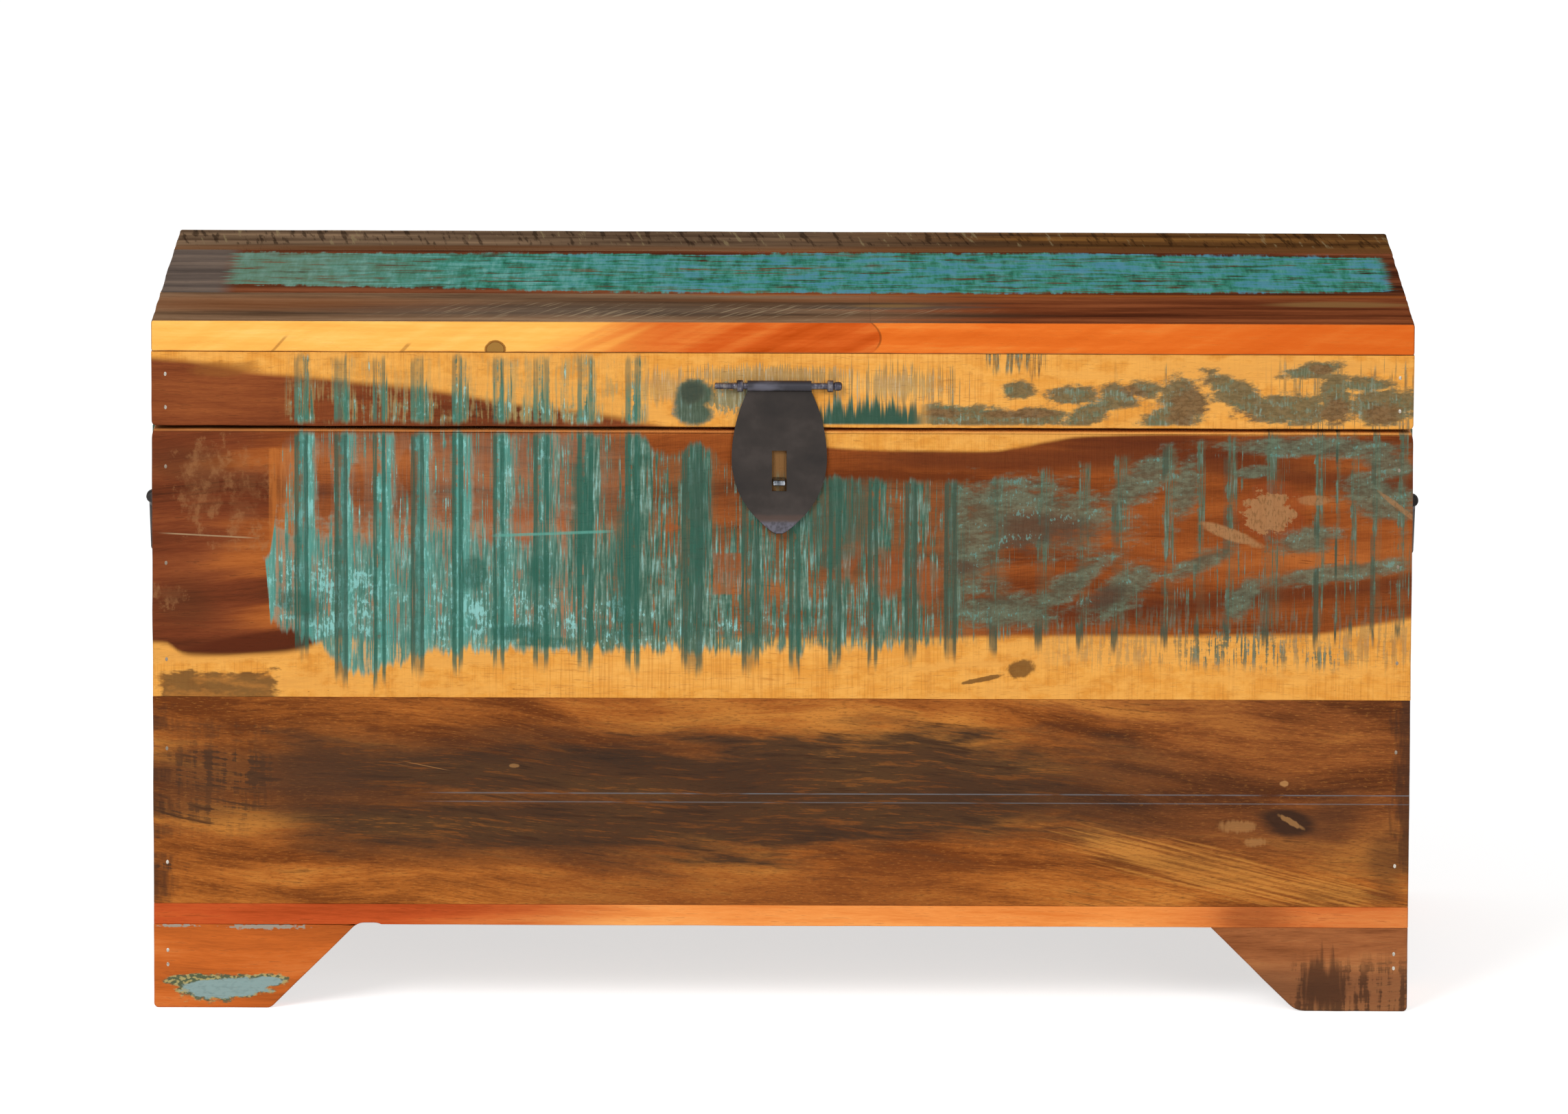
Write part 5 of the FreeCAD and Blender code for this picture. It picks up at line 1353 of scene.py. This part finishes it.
def hasp_fittings(material, rod_material):
    rod_y, rod_z = ROD_AXIS
    profile = [(-43, 0.02), (-43, 1.5), (-42.6, 1.85)]
    for turn in range(THREAD_TURNS):
        start = THREAD_FROM + turn * THREAD_PITCH
        profile += [(start, ROD_RADIUS - 0.23), (start + THREAD_PITCH / 2, ROD_RADIUS + 0.07)]
    profile += [(along, ROD_RADIUS) for along in (-30, 0, 32)]
    profile += [(32.6, 2.2), (33.0, 2.75), (35.4, 2.9), (37.0, 2.5), (37.6, 1.5), (37.6, 0.02)]
    make("turned_hasp_rod", lathe(profile, "x", (0, rod_y, rod_z), 24), rod_material, "hasp_rod")
    reach = extents("lid_board_front")[0][1] - rod_y
    pins = [split_pin(HASP_EYE_BORE, reach, (x, rod_y, rod_z)) for x in HASP_EYES]
    make("folded_hasp_eyes", together(pins), rod_material, "hasp_eyes")
    wall = extents("front_board_upper")[0][1]
    half = STAPLE_HALF - STAPLE_THICK / 2
    inside = wall + BOARD_THICK + STAPLE_THICK / 2
    nose = wall - STAPLE_REACH + STAPLE_THICK / 2
    upper = [(inside, half + STAPLE_TAIL), (inside, half), (nose, half)]
    corners = [(HASP_X, y, STAPLE_Z + z) for y, z in upper]
    corners += [(HASP_X, y, STAPLE_Z - z) for y, z in reversed(upper)]
    radii = (1.2, half - 0.01, half - 0.01, 1.2)
    make("bent_staple", bent_strip(corners, radii, STAPLE_THICK, STAPLE_WIDE, 0.55), material, "hasp_staple")


def bail_path():
    """The handle's line in (y, z), from its near eye to its far one."""
    leg = HANDLE_LEG
    corners = ((-BAR_END, 0), (-leg, 0), (-leg, -HANDLE_DROP), (leg, -HANDLE_DROP), (leg, 0), (BAR_END, 0))
    line = bend([(*corner, 0) for corner in corners], (EAR_BEND, CORNER_BEND, CORNER_BEND, EAR_BEND), 9)
    return [point[:2] for point in (*filled(line, 4), line[-1])]


def bail_radius(y, z):
    """Swelled in the grip, drawn thin in the legs, and upset at the ends."""
    if abs(y) > BAR_END_FROM:
        return BAR_END_RADIUS
    if z > -HANDLE_DROP + 0.5:
        return BAR_RADIUS
    out = max(0, abs(y) - GRIP_BELLY / 2) / ((GRIP_LONG - GRIP_BELLY) / 2)
    share = 0.5 + 0.5 * math.cos(math.pi * min(1, out))
    return BAR_RADIUS + (GRIP_RADIUS - BAR_RADIUS) * share


def handles(material):
    path = bail_path()
    bail = sweep([(0, y, z) for y, z in path], [ring_section(bail_radius(y, z)) for y, z in path])
    dome = ((0, 10.2), (0.5, 10.9), (1.0, 10.6), (1.4, 9.2), (1.5, 6.5), (1.5, 3.0), (0.4, 2.6), (0.4, 0.02))
    out = extents("right_board_upper")[1][0]
    pins = []
    washers = []
    for side, sign in (("left", -1), ("right", 1)):
        part = moved(bail, (sign * HANDLE_X, 0, HANDLE_Z))
        make(f"bent_{side}_bail", part, material, f"{side}_handle_bail", 50)
        turn = Matrix.Rotation(sign * math.pi / 2, 3, "Z")
        profile = [(sign * along, radius) for along, radius in dome]
        for y in (-EYE_OUT, EYE_OUT):
            pins.append(split_pin(HANDLE_EYE_BORE, HANDLE_X - out, (sign * HANDLE_X, y, HANDLE_Z), turn))
            washers.append(lathe(profile, "x", (sign * out, y, HANDLE_Z), 32))
    make("folded_handle_eyes", together(pins), material, "handle_eyes")
    make("domed_washers", together(washers), material, "handle_washers")


def leaf_sheet(left, right, edge, other_edge, rim, eases=((0.4, 0.4),) * 2):
    """A flat piece of a hinge's leaf between two heights, on the back of the chest."""
    low, high = sorted((edge, other_edge))
    outline = rectangle((left, low), (right, high), (rim,) * 3, eases)
    return slab(outline, LEAF_BACK, LEAF_BACK + LEAF_THICK, "xzy")


def hinges(material, screw_material):
    axis_y, axis_z = HINGE_AXIS
    half = LEAF_WIDE / 2
    pitch = LEAF_WIDE / 3
    eases = ((0.4, 0.4), (3, 3))
    screws = {"base": [], "lid": []}
    pins = []
    for side, x in (("left", -HINGE_X), ("right", HINGE_X)):
        for leaf, way, own in (("base", -1, (0, 2)), ("lid", 1, (1,))):
            near = axis_z + (KNUCKLE_RADIUS + KNUCKLE_GAP) * way
            parts = [leaf_sheet(x - half, x + half, near, axis_z + LEAF_HIGH * way, 0.35, eases[::way])]
            for count in own:
                start = x - half + pitch * count + KNUCKLE_GAP / 2
                long = pitch - KNUCKLE_GAP
                parts.append(leaf_sheet(start, start + long, axis_z, near, 0.3))
                middle = (start + long / 2, axis_y, axis_z)
                parts.append(band(KNUCKLE_BORE, KNUCKLE_RADIUS, long / 2, middle, 0.4))
            name = f"hinge_leaf_{leaf}_{side}"
            make(f"rolled_{name}", together(parts), material, name)
            for place, drop in SCREW_PLACES:
                at = (x + place, LEAF_BACK + LEAF_THICK, axis_z + drop * way)
                screws[leaf].append(screw_head(at, place * 2.3 + 20 * way + x))
        profile = [(-half - 1.8, 0.02), (-half - 1.8, 1.8), (-half - 1.2, 2.9), (-half, 3.1), (-half, 1.9)]
        profile += [(-along, radius) for along, radius in reversed(profile)]
        pins.append(lathe(profile, "x", (x, axis_y, axis_z), 20))
    make("turned_hinge_pins", together(pins), material, "hinge_pins")
    for leaf, parts in screws.items():
        make(f"slotted_screws_{leaf}", together(parts), screw_material, f"hinge_screws_{leaf}")


def screw_head(at, angle):
    """A countersunk head: two halves with the slot between them, and the slot's floor."""
    start = math.degrees(math.asin(SCREW_SLOT / SCREW_RADIUS))
    half = arc((0, 0), (SCREW_RADIUS,) * 2, start, 180 - start, (0.3, 0.3), 12)
    inner = SCREW_RADIUS - 0.3
    parts = []
    for sign in (1, -1):
        outline = [(sign * u, sign * v, rim) for u, v, rim in half]
        parts.append(slab(outline, -SCREW_DEEP, HEAD_PROUD, "xzy"))
    parts.append(lathe([(-0.9, 0.02), (-0.9, inner), (-0.5, inner), (-0.5, 0.02)], "y", (0, 0, 0), 20))
    return moved(together(parts), at, Matrix.Rotation(math.radians(angle), 3, "Y"))


# Stage, lights and camera


def seen_directly(tree):
    """1 for rays that show the background: from the camera, or by way of metal or glass."""
    path = add(tree, "LightPath").outputs
    seen = path["Is Camera Ray"]
    for name in ("Is Glossy Ray", "Is Transmission Ray"):
        seen = add(tree, "Math", (seen, path[name]), operation="MAXIMUM").outputs[0]
    return seen


def stage():
    """A wide pale floor that runs past the camera's view, and a plain white surround."""
    mesh = bpy.data.meshes.new("floor")
    corners = [(u * FLOOR_HALF, v * FLOOR_HALF, 0) for u, v in ((-1, -1), (1, -1), (1, 1), (-1, 1))]
    mesh.from_pydata(corners, [], [(0, 1, 2, 3)])
    material = bpy.data.materials.new("floor_pale")
    tree = empty_tree(material)
    diffuse = add(tree, "BsdfDiffuse", {"Color": (0.86, 0.86, 0.86, 1)}).outputs[0]
    lift = add(tree, "Math", (seen_directly(tree), FLOOR_LIFT), operation="MULTIPLY").outputs[0]
    glow = add(tree, "Emission", {"Strength": lift}).outputs[0]
    add(tree, "OutputMaterial", {"Surface": add(tree, "AddShader", (diffuse, glow)).outputs[0]})
    mesh.materials.append(material)
    place_in_scene("floor", mesh)

    world = bpy.data.worlds.new("surround")
    bpy.context.scene.world = world
    tree = empty_tree(world)
    light = {"Value": seen_directly(tree), "To Min": WORLD_LIGHT, "To Max": 1}
    strength = add(tree, "MapRange", light).outputs[0]
    background = add(tree, "Background", {"Strength": strength}).outputs[0]
    add(tree, "OutputWorld", {"Surface": background})


def lamp(name, at, target, wide, power):
    light = bpy.data.lights.new(name, "AREA")
    light.shape = "DISK"
    light.size = wide
    light.energy = power
    holder = place_in_scene(name, light)
    holder.location = at
    holder.rotation_euler = (Vector(target) - Vector(at)).to_track_quat("-Z", "Y").to_euler()


def camera():
    data = bpy.data.cameras.new("camera")
    data.sensor_fit = "HORIZONTAL"
    data.sensor_width = SENSOR_WIDE
    data.lens = FOCAL_PIXELS / PHOTO_WIDE * SENSOR_WIDE
    data.clip_end = 100
    holder = place_in_scene("camera", data)
    look = Matrix.Rotation(math.pi / 2 - CAMERA_DOWN, 4, "X") @ Matrix.Rotation(CAMERA_ROLL, 4, "Z")
    holder.matrix_world = Matrix.Translation(CAMERA_AT) @ look
    bpy.context.scene.camera = holder


front_boards()
feet()
other_walls()
inner_wood()
rod_iron = metal("rod_iron", "2e2b2b", "4d4c58", "8a8480", 710, shine=0.8, rough=0.38, scale=0.4)
staple_steel = metal("staple_steel", "30353a", "868b92", "c4c8cc", 720, shine=1.0, rough=0.26, scale=0.5)
handle_iron = metal("handle_iron", "1f1c1b", "34302e", "4c4644", 730, rough=0.5)
hinge_iron = metal("hinge_iron", "2a2523", "423a36", "5c524c", 740, rough=0.5)
screw_steel = metal("screw_steel", "5a5a58", "7e7d7a", "a3a19c", 750, shine=0.9, scale=0.4)
brad_steel = metal("brad_steel", "7a6a58", "b8b2a6", "d8d4c8", 760, shine=0.3, scale=0.3, dull=(100, 374))
for brads in ("base_brads", "lid_brads"):
    brad_heads(brads, brad_steel)
hasp_plate(hasp_metal())
hasp_fittings(staple_steel, rod_iron)
handles(handle_iron)
hinges(hinge_iron, screw_steel)
stage()
lamp("key", (-2.2, -4.2, 3.2), (0, 0, 0.25), 2.4, 150)
lamp("fill", (2.6, -4.6, 1.6), (0, 0, 0.25), 2.6, 70)
camera()
bpy.context.scene.view_settings.view_transform = "Standard"
